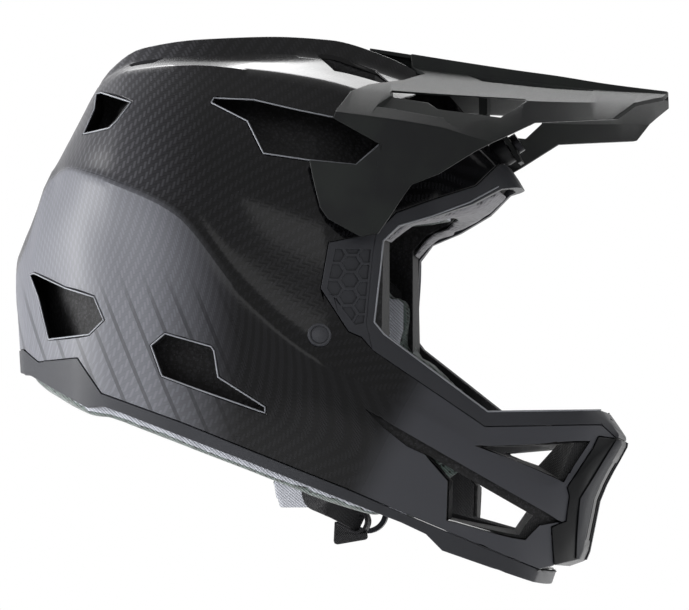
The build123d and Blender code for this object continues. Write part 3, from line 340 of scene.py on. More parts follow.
def carbon_finish():
    """Woven carbon fibre under lacquer: a 2x2 twill whose tows take the light in turn. The lacquer
    is satin at the rear, with tone-on-tone stripes, and on the chin, and glossy in between."""
    made, tree, shader = new_material("carbon_twill_lacquered")
    surface = add_node(tree, "ShaderNodeUVMap", uv_map="weave").outputs["UV"]
    apart = split(tree, surface)
    across = math_node(tree, "DIVIDE", apart["X"], TOW)
    up = math_node(tree, "DIVIDE", apart["Y"], TOW)
    step = math_node(tree, "ADD", math_node(tree, "FLOOR", across), math_node(tree, "FLOOR", up))
    warp = math_node(tree, "LESS_THAN", math_node(tree, "FLOORED_MODULO", step, 4.0), 1.5)
    # Each tow is a rounded ridge, along the weave or across it
    ridges = [math_node(tree, "SINE", math_node(tree, "MULTIPLY", math_node(tree, "FRACT", way), math.pi))
              for way in (across, up)]
    weft = math_node(tree, "MULTIPLY", math_node(tree, "SUBTRACT", 1.0, warp), ridges[1])
    ridge = math_node(tree, "MULTIPLY_ADD", warp, ridges[0], weft)
    light_tow = math_node(tree, "MULTIPLY", ridge, math_node(tree, "MULTIPLY_ADD", warp, 0.75, 0.25))
    zones = split(tree, add_node(tree, "ShaderNodeUVMap", uv_map="zones").outputs["UV"])
    lower = zones["X"]
    place = split(tree, object_place(tree))
    along, height = place["X"], place["Z"]
    rear = ranged(tree, along, *REAR_FADE, 0.0, 1.0)
    chin = ranged(tree, math_node(tree, "SUBTRACT", along, math_node(tree, "MULTIPLY", height, 0.5)),
                  *CHIN_FADE, 0.0, 1.0)
    chin = math_node(tree, "MULTIPLY", chin, zones["Y"])
    satin = math_node(tree, "MULTIPLY", lower, rear)
    upper = math_node(tree, "MULTIPLY", math_node(tree, "SUBTRACT", 1.0, lower),
                      ranged(tree, along, *UPPER_FADE, 0.0, 1.0))
    tone = mixed(tree, light_tow, "050506", "111113")
    tone = mixed(tree, upper, tone, mixed(tree, light_tow, "1b1b1e", "3a3a3e"))
    panel = mixed(tree, light_tow, "45464b", "515258")
    # Stripes across the satin panel, and one broad band along it
    slant = math_node(tree, "MULTIPLY_ADD", height, STRIPE_SLANT, along)
    lap = math_node(tree, "FRACT", math_node(tree, "DIVIDE", slant, STRIPE_PITCH))
    band = math_node(tree, "COMPARE", math_node(tree, "MULTIPLY_ADD", along, BAND_SLANT, height),
                     BAND_LEVEL, BAND_HALF)
    stripes = math_node(tree, "MAXIMUM", math_node(tree, "LESS_THAN", lap, STRIPE_SHARE), band)
    stripes = math_node(tree, "MULTIPLY", stripes, ranged(tree, height, *STRIPE_FADE, 0.0, 0.8))
    panel = mixed(tree, stripes, panel, "2c2d31")
    tone = mixed(tree, satin, tone, panel)
    tone = mixed(tree, chin, tone, "2b2c31")
    dull = math_node(tree, "MAXIMUM", chin, math_node(tree, "MAXIMUM", satin,
                                                      math_node(tree, "MULTIPLY", upper, 0.6)))
    feed(shader, Base_Color=tone, Roughness=ranged(tree, dull, 0.0, 1.0, 0.13, 0.5),
         Specular_IOR_Level=ranged(tree, dull, 0.0, 1.0, 0.14, 0.26))
    bumped(tree, shader, ridge, 0.05, 0.2 * MM)
    return made


def moulded_finish(name, code, roughness, grain=0.35, height=0.12, speck="000000", amount=0.1,
                   shine=0.2):
    """Moulded plastic or rubber with a fine sparked grain that breaks up the light."""
    made, tree, shader = new_material(name, Roughness=roughness, Specular_IOR_Level=shine)
    place = object_place(tree)
    fine = noise_value(tree, place, grain * MM, 3.0)
    broad = noise_value(tree, place, 28 * MM, 2.0)
    tone = mixed(tree, ranged(tree, broad, 0.35, 0.65, 0.0, amount), code, speck)
    feed(shader, Base_Color=tone,
         Roughness=ranged(tree, fine, 0.3, 0.7, roughness - 0.06, roughness + 0.08))
    bumped(tree, shader, fine, height, 0.2 * MM)
    return made


def foam_finish():
    """Expanded black bead foam: beads 3 mm across with fine dark seams, speckled where they were
    moulded against the tool."""
    made, tree, shader = new_material("expanded_bead_foam", Roughness=0.75, Specular_IOR_Level=0.25)
    place = object_place(tree)
    beads = add_node(tree, "ShaderNodeTexVoronoi", {"Vector": place, "Scale": 1 / (2.4 * MM)})
    grains = noise_value(tree, place, 0.8 * MM, 3.0)
    seams = ranged(tree, beads.outputs["Distance"], 0.25, 0.6, 0.0, 1.0)
    tone = mixed(tree, seams, "19191b", "0a0a0b")
    tone = mixed(tree, ranged(tree, grains, 0.58, 0.72, 0.0, 0.6), tone, "3c3b3e")
    feed(shader, Base_Color=tone)
    bumped(tree, shader, math_node(tree, "SUBTRACT", 1.0, beads.outputs["Distance"]), 0.6, 0.5 * MM)
    return made


def knit_finish(name, code, gap_code, hole=2.4, depth=0.7):
    """Knitted spacer mesh: pale yarn round rows of dark holes, offset from row to row."""
    made, tree, shader = new_material(name, Roughness=0.9, Specular_IOR_Level=0.2, Sheen_Weight=0.25)
    place = object_place(tree)
    turned = add_node(tree, "ShaderNodeMapping", {"Vector": place, "Rotation": (0.5, 0.6, 0.78)})
    cells = add_node(tree, "ShaderNodeTexVoronoi", {"Vector": turned.outputs["Vector"],
                                                    "Scale": 1 / (hole * MM), "Randomness": 0.22})
    yarn = noise_value(tree, place, 0.5 * MM, 2.0)
    open_part = ranged(tree, cells.outputs["Distance"], 0.22, 0.4, 1.0, 0.0)
    tone = mixed(tree, ranged(tree, yarn, 0.35, 0.65, 0.0, 0.35), code, gap_code)
    tone = mixed(tree, math_node(tree, "MULTIPLY", open_part, depth), tone, gap_code)
    feed(shader, Base_Color=tone)
    bumped(tree, shader, cells.outputs["Distance"], 0.7, 0.6 * MM)
    return made


def cushion_finish(name, code, dark_code, edge_code):
    """A pad's cover: silver knit with fine diagonal ribs, and open mesh edging round its sides,
    where the pad's own edging map says so."""
    made, tree, shader = new_material(name, Roughness=0.9, Specular_IOR_Level=0.15, Sheen_Weight=0.2)
    place = object_place(tree)
    apart = split(tree, place)
    slant = math_node(tree, "ADD", apart["X"], apart["Z"])
    other = math_node(tree, "SUBTRACT", apart["X"], apart["Z"])
    rib = ripple(tree, slant, 2.0 * MM)
    stitch = ripple(tree, other, 1.3 * MM)
    knit = math_node(tree, "MULTIPLY_ADD", rib, 0.7, math_node(tree, "MULTIPLY", stitch, 0.3))
    cloth = mixed(tree, ranged(tree, knit, -0.9, 0.5, 0.0, 1.0), dark_code, code)
    cells = add_node(tree, "ShaderNodeTexVoronoi", {"Vector": place, "Scale": 1 / (3.2 * MM),
                                                    "Randomness": 0.3})
    holes = ranged(tree, cells.outputs["Distance"], 0.3, 0.42, 1.0, 0.0)
    net = mixed(tree, holes, edge_code, "070808")
    edging = add_node(tree, "ShaderNodeAttribute", attribute_name="edging").outputs["Fac"]
    edging = ranged(tree, edging, 0.4, 0.6, 0.0, 1.0)
    feed(shader, Base_Color=mixed(tree, edging, cloth, net))
    height = math_node(tree, "MULTIPLY_ADD", cells.outputs["Distance"], edging, knit)
    bumped(tree, shader, height, 0.5, 0.4 * MM)
    return made


def webbing_finish():
    """Woven polyester webbing: ribs across the band, from its own UV map, in metres."""
    made, tree, shader = new_material("polyester_webbing", Roughness=0.65, Specular_IOR_Level=0.15,
                                      Sheen_Weight=0.06)
    surface = add_node(tree, "ShaderNodeUVMap", uv_map="weave").outputs["UV"]
    apart = split(tree, surface)
    rib = ripple(tree, apart["X"], 1.4 * MM)
    end = ripple(tree, apart["Y"], 1.1 * MM)
    weave = math_node(tree, "MULTIPLY", rib, end)
    tone = mixed(tree, ranged(tree, weave, -1.0, 1.0, 0.0, 1.0), "08080a", "1b1b1e")
    feed(shader, Base_Color=tone)
    bumped(tree, shader, weave, 0.8, 0.4 * MM)
    return made


def metal_finish(name, code, roughness):
    """Drawn or turned metal: fine scratches break up its shine."""
    made, tree, shader = new_material(name, Roughness=roughness, Metallic=1.0, Base_Color=to_linear(code))
    place = object_place(tree)
    stretched = add_node(tree, "ShaderNodeMapping", {"Vector": place, "Scale": (1.0, 1.0, 9.0)})
    scratches = noise_value(tree, stretched.outputs["Vector"], 1.2 * MM, 4.0)
    feed(shader, Roughness=ranged(tree, scratches, 0.3, 0.7, roughness - 0.08, roughness + 0.1))
    return made


carbon = carbon_finish()
# Peak: fine-grained black nylon, matte
peak_nylon = moulded_finish("moulded_nylon_matte", "0f1011", 0.5, 0.45, 0.3, "191c1a", 0.5, 0.1)
# Edges and panels: soft black rubber, a little grey from its bloom
soft_rubber = moulded_finish("moulded_rubber", "222327", 0.5, 0.5, 0.15)
# Chin front: darker moulded plastic
dark_plastic = moulded_finish("moulded_plastic_dark", "08090b", 0.42, 0.4, 0.12, shine=0.12)
# Rivet caps: satin grey-black plastic
cap_plastic = moulded_finish("moulded_plastic_satin", "2b2c30", 0.3, 0.6, 0.05)
# Cut edges of the shell and of the chin cover's rib: satin grey, lighter than the surfaces beside them, a
# painted highlight of the light these edges catch
edge_highlight_paint = moulded_finish("painted_edge_highlight_satin", "6d6f74", 0.35, 0.6, 0.04)
# The rib's colour, lighter than the cover's, is a painted highlight standing in for a lit bevel strip
rib_highlight_plastic = moulded_finish("moulded_plastic_rib_painted_highlight", "1e1f23", 0.65, 0.5, 0.08)
bead_foam = foam_finish()
pad_knit = cushion_finish("knitted_spacer_mesh", "94969d", "6a6c72", "36403d")
brow_knit = knit_finish("perforated_brow_mesh", "5c5b60", "0c0c0d", 3.6, 0.95)
lining_cloth = knit_finish("woven_lining", "141416", "060607", 1.4, 0.8)
webbing = webbing_finish()
steel = metal_finish("drawn_steel", "7b7d80", 0.35)
# D-rings: steel with a black coating
dark_steel = metal_finish("blackened_steel", "232427", 0.4)
black_alloy = metal_finish("anodised_aluminium_black", "1a1a1c", 0.35)


# Places read from the photograph

def spot(pixel):
    """The X and Z, in metres, of a pixel of the photograph at its distance before the middle."""
    across_px, down_px, before_mm = pixel
    before = before_mm * MM
    x, z = LOOK_X, LOOK_Z
    for _ in range(4):
        nearer = (x - LOOK_X) * math.sin(VIEW_TURN) + before * math.cos(VIEW_TURN)
        nearer = nearer * math.cos(VIEW_TILT) + (z - LOOK_Z) * math.sin(VIEW_TILT)
        scale = PIXEL * (VIEW_DISTANCE - nearer) / VIEW_DISTANCE
        across = (across_px - PHOTO_MIDDLE[0]) * scale
        up = (PHOTO_MIDDLE[1] - down_px) * scale
        x = LOOK_X + (across + before * math.sin(VIEW_TURN)) / math.cos(VIEW_TURN)
        lean = math.sin(VIEW_TILT) * (math.sin(VIEW_TURN) * (x - LOOK_X)
                                      + math.cos(VIEW_TURN) * before)
        z = LOOK_Z + (up + lean) / math.cos(VIEW_TILT)
    return x, z


def seen(pixel):
    """The place of a pixel of the photograph at its distance before the middle."""
    x, z = spot(pixel)
    return Vector((x, -pixel[2] * MM, z))


def outline(pixels):
    """An outline of the photograph as seen from the side, in metres."""
    return [spot(pixel) for pixel in pixels]


def shared(points):
    """Points seen from above, from shares of the shell's length and width."""
    return [(along * SHELL_LENGTH, out * SHELL_WIDTH) for along, out in points]


def widened(points, amount):
    """A closed outline moved outwards by the amount on all sides, or inwards if it is negative."""
    flat = [Vector(point) for point in points]
    area = sum(a.x * b.y - b.x * a.y for a, b in zip(flat, flat[1:] + flat[:1]))
    way = 1 if area > 0 else -1
    moved = []
    for place, here in enumerate(flat):
        before = (here - flat[place - 1]).normalized()
        after = (flat[(place + 1) % len(flat)] - here).normalized()
        out_before = Vector((before.y, -before.x)) * way
        out_after = Vector((after.y, -after.x)) * way
        middle = (out_before + out_after).normalized()
        reach = amount / max(middle.dot(out_before), 0.45)
        moved.append(tuple(here + middle * reach))
    return moved


# Meshes

def placed(name, data):
    """A new object with this data, in the scene."""
    made = bpy.data.objects.new(name, data)
    bpy.context.collection.objects.link(made)
    return made


def drop(piece):
    bpy.data.objects.remove(piece, do_unlink=True)


def new_piece(name, points, faces):
    """A new object with a mesh of these points and faces."""
    mesh = bpy.data.meshes.new(name)
    mesh.from_pydata([tuple(point) for point in points], [], faces)
    mesh.update()
    return placed(name, mesh)


def reworked(piece, work):
    """Runs a function on the piece's mesh in editable form."""
    mesh = bmesh.new()
    mesh.from_mesh(piece.data)
    work(mesh)
    mesh.to_mesh(piece.data)
    mesh.free()
    return piece


def faces_out(piece, least=None):
    """Turns the faces outwards, after splitting those with at least this many corners."""
    def work(mesh):
        if least:
            bmesh.ops.triangulate(mesh, faces=[face for face in mesh.faces if len(face.verts) >= least])
        bmesh.ops.recalc_face_normals(mesh, faces=mesh.faces[:])
    return reworked(piece, work)


def wall_faces(count, levels):
    """The faces between rings of this many corners each."""
    faces = []
    for level in range(levels - 1):
        for place in range(count):
            here, after = level * count + place, level * count + (place + 1) % count
            faces.append((here, after, after + count, here + count))
    return faces


def end_faces(count, levels):
    """The faces that close the first and the last ring."""
    return [tuple(range(count))[::-1], tuple(range((levels - 1) * count, levels * count))]


def uv_map(piece, name, pairs):
    """A UV map, with one pair for each corner of each face."""
    layer = piece.data.uv_layers.new(name=name)
    layer.data.foreach_set("uv", np.asarray(pairs, dtype=np.float32).reshape(-1))


def settle(piece):
    """Applies the piece's modifiers, leaving plain mesh."""
    graph = bpy.context.evaluated_depsgraph_get()
    mesh = bpy.data.meshes.new_from_object(piece.evaluated_get(graph), depsgraph=graph)
    piece.modifiers.clear()
    piece.data = mesh
    return piece


def carve(piece, tool, operation="DIFFERENCE", keep=False):
    """Cuts the piece by the tool, joins them, or keeps what they share."""
    made = piece.modifiers.new("carve", "BOOLEAN")
    made.operation = operation
    made.object = tool
    made.solver = "MANIFOLD"
    settle(piece)
    if not keep:
        drop(tool)
    return piece


def smoothed(piece, degrees=30.0):
    """Shades the piece smooth except where faces turn by more than the angle."""
    mesh = piece.data
    mesh.shade_smooth()
    mesh.set_sharp_from_angle(angle=math.radians(degrees))
    return piece


def welded(piece):
    """Joins the corners of loose triangles, without touching the mesh itself."""
    weld = piece.modifiers.new("weld", "WELD")
    weld.merge_threshold = 0.01 * MM
    return piece


def bevelled(piece, width, degrees=28.0):
    """Welds loose triangles and rounds the sharp edges, without touching the mesh itself."""
    made = welded(piece).modifiers.new("round", "BEVEL")
    made.width = width
    made.segments = 2
    made.limit_method = "ANGLE"
    made.angle_limit = math.radians(degrees)
    made.harden_normals = False
    return piece


# Cutting tools

# How far under and over the surface a window's slanted edge reaches
WINDOW_SINK = 2.2 * MM
WINDOW_RISE = 9 * MM


def tree_of(piece):
    """A tree of the piece's surface, for lines of sight."""
    return BVHTree.FromObject(piece, bpy.context.evaluated_depsgraph_get())


def prism(points, low, high, mirror_too=True):
    """A tool with an outline seen from the side, from one distance before the middle to another."""
    return tool_through([[(x, -before, z) for x, z in points] for before in (low, high)],
                        mirror_too and low > 0)


def tool_through(rings, mirror_too=False, name="tool", least=3):
    """A closed tool over rings of corners, and its mirror image on the other side. Faces with at
    least this many corners are split into triangles."""
    count, levels = len(rings[0]), len(rings)
    points = [Vector(point) for ring in rings for point in ring]
    faces = [face[::-1] for face in end_faces(count, levels)]
    faces += [(face[0],) + face[:0:-1] for face in wall_faces(count, levels)]
    if mirror_too:
        offset = len(points)
        points += [Vector((point.x, -point.y, point.z)) for point in points]
        faces += [tuple(offset + corner for corner in reversed(face)) for face in faces]
    return faces_out(new_piece(name, points, faces), least)


def hit(pixel, tree):
    """Where the line of sight through a pixel first meets a surface."""
    sight = VIEW_TARGET + (VIEW_RIGHT * (pixel[0] - PHOTO_MIDDLE[0])
                           + VIEW_AWAY.cross(VIEW_RIGHT) * (PHOTO_MIDDLE[1] - pixel[1])) * PIXEL
    eye = VIEW_TARGET + VIEW_AWAY * VIEW_DISTANCE
    place = tree.ray_cast(eye, (sight - eye).normalized())[0]
    return seen(pixel) if place is None else place


def flared(pixels, inner, slope, tree, sink=WINDOW_SINK, rise=WINDOW_RISE):
    """A tool for a window: its sides lean outwards from a little under the surface, so that the
    cut has a slanted edge."""
    places = [hit(pixel, tree) for pixel in pixels]
    points = [(place.x, place.z) for place in places]
    wide = widened(points, slope * (sink + rise))
    depths = [-place.y for place in places]
    rings = [[(x, -inner, z) for x, z in points],
             [(x, -(depth - sink), z) for (x, z), depth in zip(points, depths)],
             [(x, -(depth + rise), z) for (x, z), depth in zip(wide, depths)]]
    return tool_through(rings, True)


def standing(points, low, high, mirror_too=False):
    """A tool with an outline seen from above, from one height to another."""
    return tool_through([[(x, y, height) for x, y in points] for height in (low, high)], mirror_too)


def plan_prism(points, low, high):
    """A tool with an outline seen from above, on both sides of the middle."""
    return standing([(x, -y) for x, y in points], low, high, True)


# The body's smooth skin

SKIN_STEP = 4 * MM


def sized(sections):
    """A table of sections in metres: how far along each lies, and its corners, out and up."""
    along = np.array([share / 1000 for share, _ in sections]) * SHELL_LENGTH
    corners = np.array([[(out / 1000 * SHELL_WIDTH, up / 1000 * SHELL_HEIGHT) for out, up in half]
                        for _, half in sections])
    return along, corners


def rows_between(along, corners, slopes, step_length=None, steps=6):
    """Rows of corners eased from section to section, each with its place along."""
    for place, span in enumerate(np.diff(along)):
        if step_length:
            steps = max(2, round(span / step_length))
        for step in range(steps + (place == len(along) - 2)):
            part = step / steps
            yield along[place] + part * span, eased(corners[place], corners[place + 1],
                                                    slopes[place] * span, slopes[place + 1] * span, part)


def skin(depth, name="skin"):
    """The whole body without openings, drawn in by the depth: smooth between the corners of its
    sections, and creased along its crest and shoulder. Its UV map is in metres along and round."""
    scales = [1 - 2 * depth / size for size in (SHELL_LENGTH, SHELL_WIDTH, SHELL_HEIGHT)]
    along, corners = sized(BODY_SECTION_SHARES)
    rings, row_along = [], []
    for x, row in rows_between(along, corners, gentle_slopes(corners, along), SKIN_STEP):
        half, marks = section(row)
        rings.append(half)
        row_along.append(x)
    rings = np.array(rings)
    count, width = rings.shape[:2]
    x = MIDDLE_SHARE * SHELL_LENGTH + (np.array(row_along) - MIDDLE_SHARE * SHELL_LENGTH) * scales[0]
    y = rings[:, :, 0] * scales[1]
    z = LEVEL_SHARE * SHELL_HEIGHT + (rings[:, :, 1] - LEVEL_SHARE * SHELL_HEIGHT) * scales[2]
    points = []
    for level in range(count):
        points += [(x[level], -y[level, place], z[level, place]) for place in range(width)]
        points += [(x[level], y[level, place], z[level, place]) for place in range(width - 1, 0, -1)]
    around = 2 * width - 1
    made = new_piece(name, points, wall_faces(around, count) + end_faces(around, count))
    grid = np.array(points).reshape(count, around, 3)
    down = np.zeros((count, around))
    down[:, 1:] = np.cumsum(np.linalg.norm(np.diff(grid, axis=1), axis=2), axis=1)
    back = down[:, -1][:, None] + np.linalg.norm(grid[:, -1] - grid[:, 0], axis=1)[:, None]
    down = np.where(np.arange(around)[None, :] < width, down, back - down)
    forth = np.zeros((count, around))
    forth[1:] = np.cumsum(np.linalg.norm(np.diff(grid, axis=0), axis=2), axis=0)
    picks = np.empty(len(made.data.loops), dtype=np.int64)
    made.data.loops.foreach_get("vertex_index", picks)
    marks = np.array(marks)
    marks = np.concatenate([marks, marks[:0:-1]])
    lower = np.tile(np.clip(marks - CREASE_CORNER, 0, 1), count)
    side = np.tile(np.clip(marks - CREST_CORNER + 1, 0, 1), count)
    for map_name, first, second in (("weave", forth.reshape(-1), down.reshape(-1)),
                                    ("zones", lower, side)):
        uv_map(made, map_name, np.stack([first[picks], second[picks]], axis=1))
    faces_out(made)
    return carve(made, chin_under(depth))


def skin_tree_at(depth):
    """A tree of the skin's surface, for lines of sight."""
    guide = skin(depth, "guide")
    tree = tree_of(guide)
    drop(guide)
    return tree


def chin_under(depth):
    """What the chin leaves free below its cover, as a tool: all that lies before a shallow arc
    and under a slope."""
    (front_x, front_z), (rear_x, rear_z) = outline(CHIN_SLOPE_PX)
    slope = (front_z - rear_z) / (front_x - rear_x)
    (start, high), (stop, low) = outline(CHIN_RAKE_PX)
    rake = start - stop
    sides = [side * CHIN_STEP for side in range(-9, 10)]
    arc = [(CHIN_TIP - depth - side * side / (2 * CHIN_RADIUS), side) for side in sides]
    drawn = [(x - rake, y) for x, y in arc]
    ends = [(FAR, sides[-1]), (FAR, sides[0])]
    return tool_through([[(x, y, -FAR) for x, y in drawn + ends], [(x, y, low) for x, y in drawn + ends],
                         [(x, y, high) for x, y in arc + ends],
                         [(x, y, rear_z + slope * (x - rear_x) + depth) for x, y in arc + ends]])


def gentle_slopes(values, along):
    """Slopes along the sections that never carry the surface past the sections themselves."""
    steps = np.diff(values, axis=0) / np.diff(along)[:, None, None]
    slopes = np.empty_like(values)
    slopes[0], slopes[-1] = steps[0], steps[-1]
    before, after = steps[:-1], steps[1:]
    total = before + after
    total[total == 0] = 1.0
    slopes[1:-1] = np.where(before * after > 0, 2 * before * after / total, 0.0)
    return slopes


def eased(start, end, start_slope, end_slope, part):
    """A point on a smooth curve from start to end, at this part of the way."""
    square, cube = part ** 2, part ** 3
    return ((2 * cube - 3 * square + 1) * start + (cube - 2 * square + part) * start_slope
            + (3 * square - 2 * cube) * end + (cube - square) * end_slope)


def section(row):
    """One half of a cross-section, smooth but for its creases, and the corner each point is at."""
    corners = [np.array(corner) for corner in row]
    before_first = corners[1] * np.array([-1, 1])
    chain = [before_first] + corners
    points, marks = [], []
    gaps = [np.linalg.norm(b - a) + 1e-9 for a, b in zip(chain, chain[1:])]
    def leaving(place, forward):
        sharp = CORNER_SHARPNESS_SHARES[place]
        here = chain[place + 1]
        last = place == len(corners) - 1
        ahead = (chain[place + 2] - here) / gaps[place + 1] if not last else None
        behind = (here - chain[place]) / gaps[place]
        if last:
            return behind
        shared_way = (behind * gaps[place + 1] + ahead * gaps[place]) / (gaps[place] + gaps[place + 1])
        return shared_way * (1 - sharp) + (ahead if forward else behind) * sharp
    for place, steps in enumerate(CORNER_STEPS):
        gap = gaps[place + 1]
        for step in range(steps):
            part = step / steps
            points.append(eased(corners[place], corners[place + 1], leaving(place, True) * gap,
                                leaving(place + 1, False) * gap, part))
            marks.append(place + part)
    points.append(corners[-1])
    marks.append(len(corners) - 1.0)
    points[0][0] = 0.0
    return points, marks


# Pieces cut from the body's skin

FLARE = 0.35
GAP_LINE = 0.35 * MM
# Each window of the shell, and how near the middle its tool reaches
WINDOW_CUTS = ((SIDE_WINDOW_PX, 41 * MM), (UPPER_REAR_VENT_PX, 20 * MM), (REAR_WINDOW_PX, 20 * MM),
               (SIDE_VENT_PX, 41 * MM), (ARM_VENT_PX, 12 * MM), (JAW_VENT_PX, 12 * MM))
CREST_SLOT_HEIGHTS = (60 * MM, 150 * MM)
ARM_STEP_INNER = 30 * MM
ARM_STEP_SINK = 0.4 * MM
# The breathing slots through the cover and the lining: from above, and their heights
BREATH_SLOT = [(135 * MM, 10 * MM), (225 * MM, 10 * MM), (225 * MM, 20 * MM), (135 * MM, 20 * MM)]
BREATH_SLOT_HEIGHTS = (-183 * MM, -137 * MM)


def through(points):
    """A tool with an outline seen from the side, right across the helmet."""
    return prism(points, -FAR, FAR)


def cut_by(piece, *tools):
    """Takes each tool away from the piece."""
    for tool in tools:
        carve(piece, tool)
    return piece


def kept_by(piece, *tools):
    """Keeps what the piece shares with each tool."""
    for tool in tools:
        carve(piece, tool, "INTERSECT")
    return piece


def one_side(piece, side):
    """Keeps the part of a piece on the right, -1, or the left, 1."""
    wall = [(-FAR, -FAR), (FAR, -FAR), (FAR, FAR), (-FAR, FAR)]
    return kept_by(piece, tool_through([[(x, y, z) for x, z in wall] for y in (0, side * FAR)]))


skin_tree = skin_tree_at(0)
eyeport_points = outline(EYEPORT_TRIM_PX)
rim_points = outline(EYEPORT_RIM_PX)
panel_points = outline(TEMPLE_PANEL_PX)
base_points = outline(BASE_LINE_PX[:-1] + CHIN_END_PX) + [(FAR, -FAR), (-FAR, -FAR)]
band_points = outline(BASE_LINE_PX)[:-1] + outline(TRIM_EDGE_PX)
mouth_points = outline(MOUTH_COVER_PX)

# The shell: one moulding from the crest to the chin bar, its windows' edges sloping in
shell = skin(0, "shell_moulding")
cut_by(shell, skin(SHELL_WALL), through(eyeport_points), through(panel_points),
       through(base_points), through(mouth_points),
       *[flared(window, inner, FLARE, skin_tree) for window, inner in WINDOW_CUTS],
       *[plan_prism(shared(slot), *CREST_SLOT_HEIGHTS) for slot in (REAR_SLOT_SHARES, FRONT_SLOT_SHARES)])
# The step under the chin's upper arm
step_tool = prism(outline(ARM_STEP_PX), ARM_STEP_INNER, FAR)
carve(step_tool, skin(SHELL_WALL + ARM_STEP_SINK))
carve(shell, step_tool)
smoothed(shell)

# The rubber edge round the eyeport
eyeport_trim = skin(-TRIM_PROUD, "eyeport_trim_moulding")
snug = widened(eyeport_points, -GAP_LINE)
for place in (0, 1, 11, 12):
    snug[place] = eyeport_points[place]
kept_by(eyeport_trim, through(snug))
cut_by(eyeport_trim, through(rim_points), skin(TRIM_DEPTH))

# The rubber panels at the temples, one face with the eyeport's edge, with hexagons sunk in
HEX_MIDDLE_PX = (350.6, 280.4)
HEX_DOWN_PX = 17.0
HEX_ACROSS_PX = 15.2
HEX_LEAN_PX = -1.1
HEX_RADIUS_PX = 8.5
HEX_SQUASH = 0.96
HEX_BEFORE_MM = 103.0
HEX_INNER = 80 * MM
HEX_SINK = 0.9 * MM


def hexagon(column, row):
    """A hexagon's outline in pixels, its column counted from the middle one."""
    half = (column % 2) / 2
    across_px = HEX_MIDDLE_PX[0] + column * HEX_ACROSS_PX + (row + half) * HEX_LEAN_PX
    down_px = HEX_MIDDLE_PX[1] + (row + half) * HEX_DOWN_PX
    return [(across_px + HEX_RADIUS_PX * math.cos(corner * math.pi / 3),
             down_px + HEX_RADIUS_PX * HEX_SQUASH * math.sin(corner * math.pi / 3), HEX_BEFORE_MM)
            for corner in range(6)]


hexagons = None
for column in (-1, 0, 1):
    for row in range(-3, 4):
        made = prism(outline(hexagon(column, row)), HEX_INNER, FAR)
        hexagons = made if hexagons is None else carve(hexagons, made, "UNION")
kept_by(hexagons, through(outline(HEX_FIELD_PX)))
carve(hexagons, skin(HEX_SINK))
smoothed(eyeport_trim)
temple_panels = []
snug = widened(panel_points, -GAP_LINE)
snug[1:4] = panel_points[1:4]
for side, name in ((-1, "right"), (1, "left")):
    panel = skin(-TRIM_PROUD, "temple_panel_moulding_" + name)
    kept_by(panel, through(snug))
    cut_by(panel, skin(TRIM_DEPTH), through(eyeport_points))
    carve(panel, hexagons, keep=True)
    temple_panels.append(smoothed(one_side(panel, side)))
drop(hexagons)

# The rubber edge round the neck opening
base_trim = skin(-TRIM_PROUD, "base_trim_moulding")
kept_by(base_trim, through(widened(band_points, -GAP_LINE)))
cut_by(base_trim, skin(TRIM_DEPTH), through(mouth_points))
smoothed(base_trim)

# The cover over the chin's front, with its breathing slots
mouth_cover = skin(-2 * TRIM_PROUD, "mouth_cover_moulding")
kept_by(mouth_cover, through(widened(mouth_points, -GAP_LINE)))
cut_by(mouth_cover, skin(TRIM_DEPTH), through(eyeport_points))
cut_by(mouth_cover, plan_prism(BREATH_SLOT, *BREATH_SLOT_HEIGHTS))
smoothed(mouth_cover)


# The peak: a thin folded moulding with a hollow spine

def peak_skin(depth, name):
    """The peak's upper surface with its folds, closed far below, drawn in by the depth."""
    along, corners = sized(PEAK_SECTION_SHARES)
    rings = []
    for x, row in rows_between(along, corners, np.gradient(corners, along, axis=0)):
        row = drawn_in(row, depth)
        rings.append([(x, -y, z) for y, z in row] + [(x, y, z) for y, z in reversed(row[1:])])
    return tool_through(rings, False, name, 5)


def drawn_in(row, depth):
    """The corners of half a section, moved in by the depth, square to both sides of each."""
    moved = []
    for place, corner in enumerate(row):
        before = row[place - 1] if place else np.array((-row[1][0], row[1][1]))
        stops = [(before, corner)]
        if place + 1 < len(row):
            stops.append((corner, row[place + 1]))
        way = np.zeros(2)
        for start, stop in stops:
            run = stop - start
            way += np.array((-run[1], run[0])) / np.linalg.norm(run)
        moved.append(tuple(corner - way * depth * len(stops) / way.dot(way)))
    return moved


def from_above(shares, low=-FAR, high=FAR):
    """A tool from an outline that starts and ends on the middle line, and its mirror image."""
    right = [(x, -y) for x, y in shared(shares)]
    left = [(x, y) for x, y in reversed(shared(shares)) if y > 0]
    return standing(right + left, low, high)


PEAK_WALL = 2.6 * MM
PEAK_SLOT_HEIGHTS = (78.5 * MM, 200 * MM)
WING_SLOT_INNER = 49 * MM
WING_SLOT_FLARE = 0.8
WING_SLOT_SINK = 1.6 * MM
WING_SLOT_RISE = 12 * MM
peak = peak_skin(0, "peak_moulding")
peak_tree = tree_of(peak)
cut_by(peak, peak_skin(PEAK_WALL, "inside"))
kept_by(peak, through(outline(WING_PX)))
cut_by(peak, from_above(NOTCH_SHARES, PEAK_SLOT_HEIGHTS[0]), from_above(FRONT_SHARES),
       plan_prism(shared(SPINE_SLOT_SHARES), *PEAK_SLOT_HEIGHTS),
       flared(WING_SLOT_PX, WING_SLOT_INNER, WING_SLOT_FLARE, peak_tree, WING_SLOT_SINK, WING_SLOT_RISE))
smoothed(peak, 20)


def tidied(piece, reach):
    """Joins corners that the cuts left nearer than the reach, so that edges can be rounded."""
    def work(mesh):
        bmesh.ops.remove_doubles(mesh, verts=mesh.verts[:], dist=reach)
        bmesh.ops.dissolve_degenerate(mesh, dist=reach / 2, edges=mesh.edges[:])
    return reworked(piece, work)


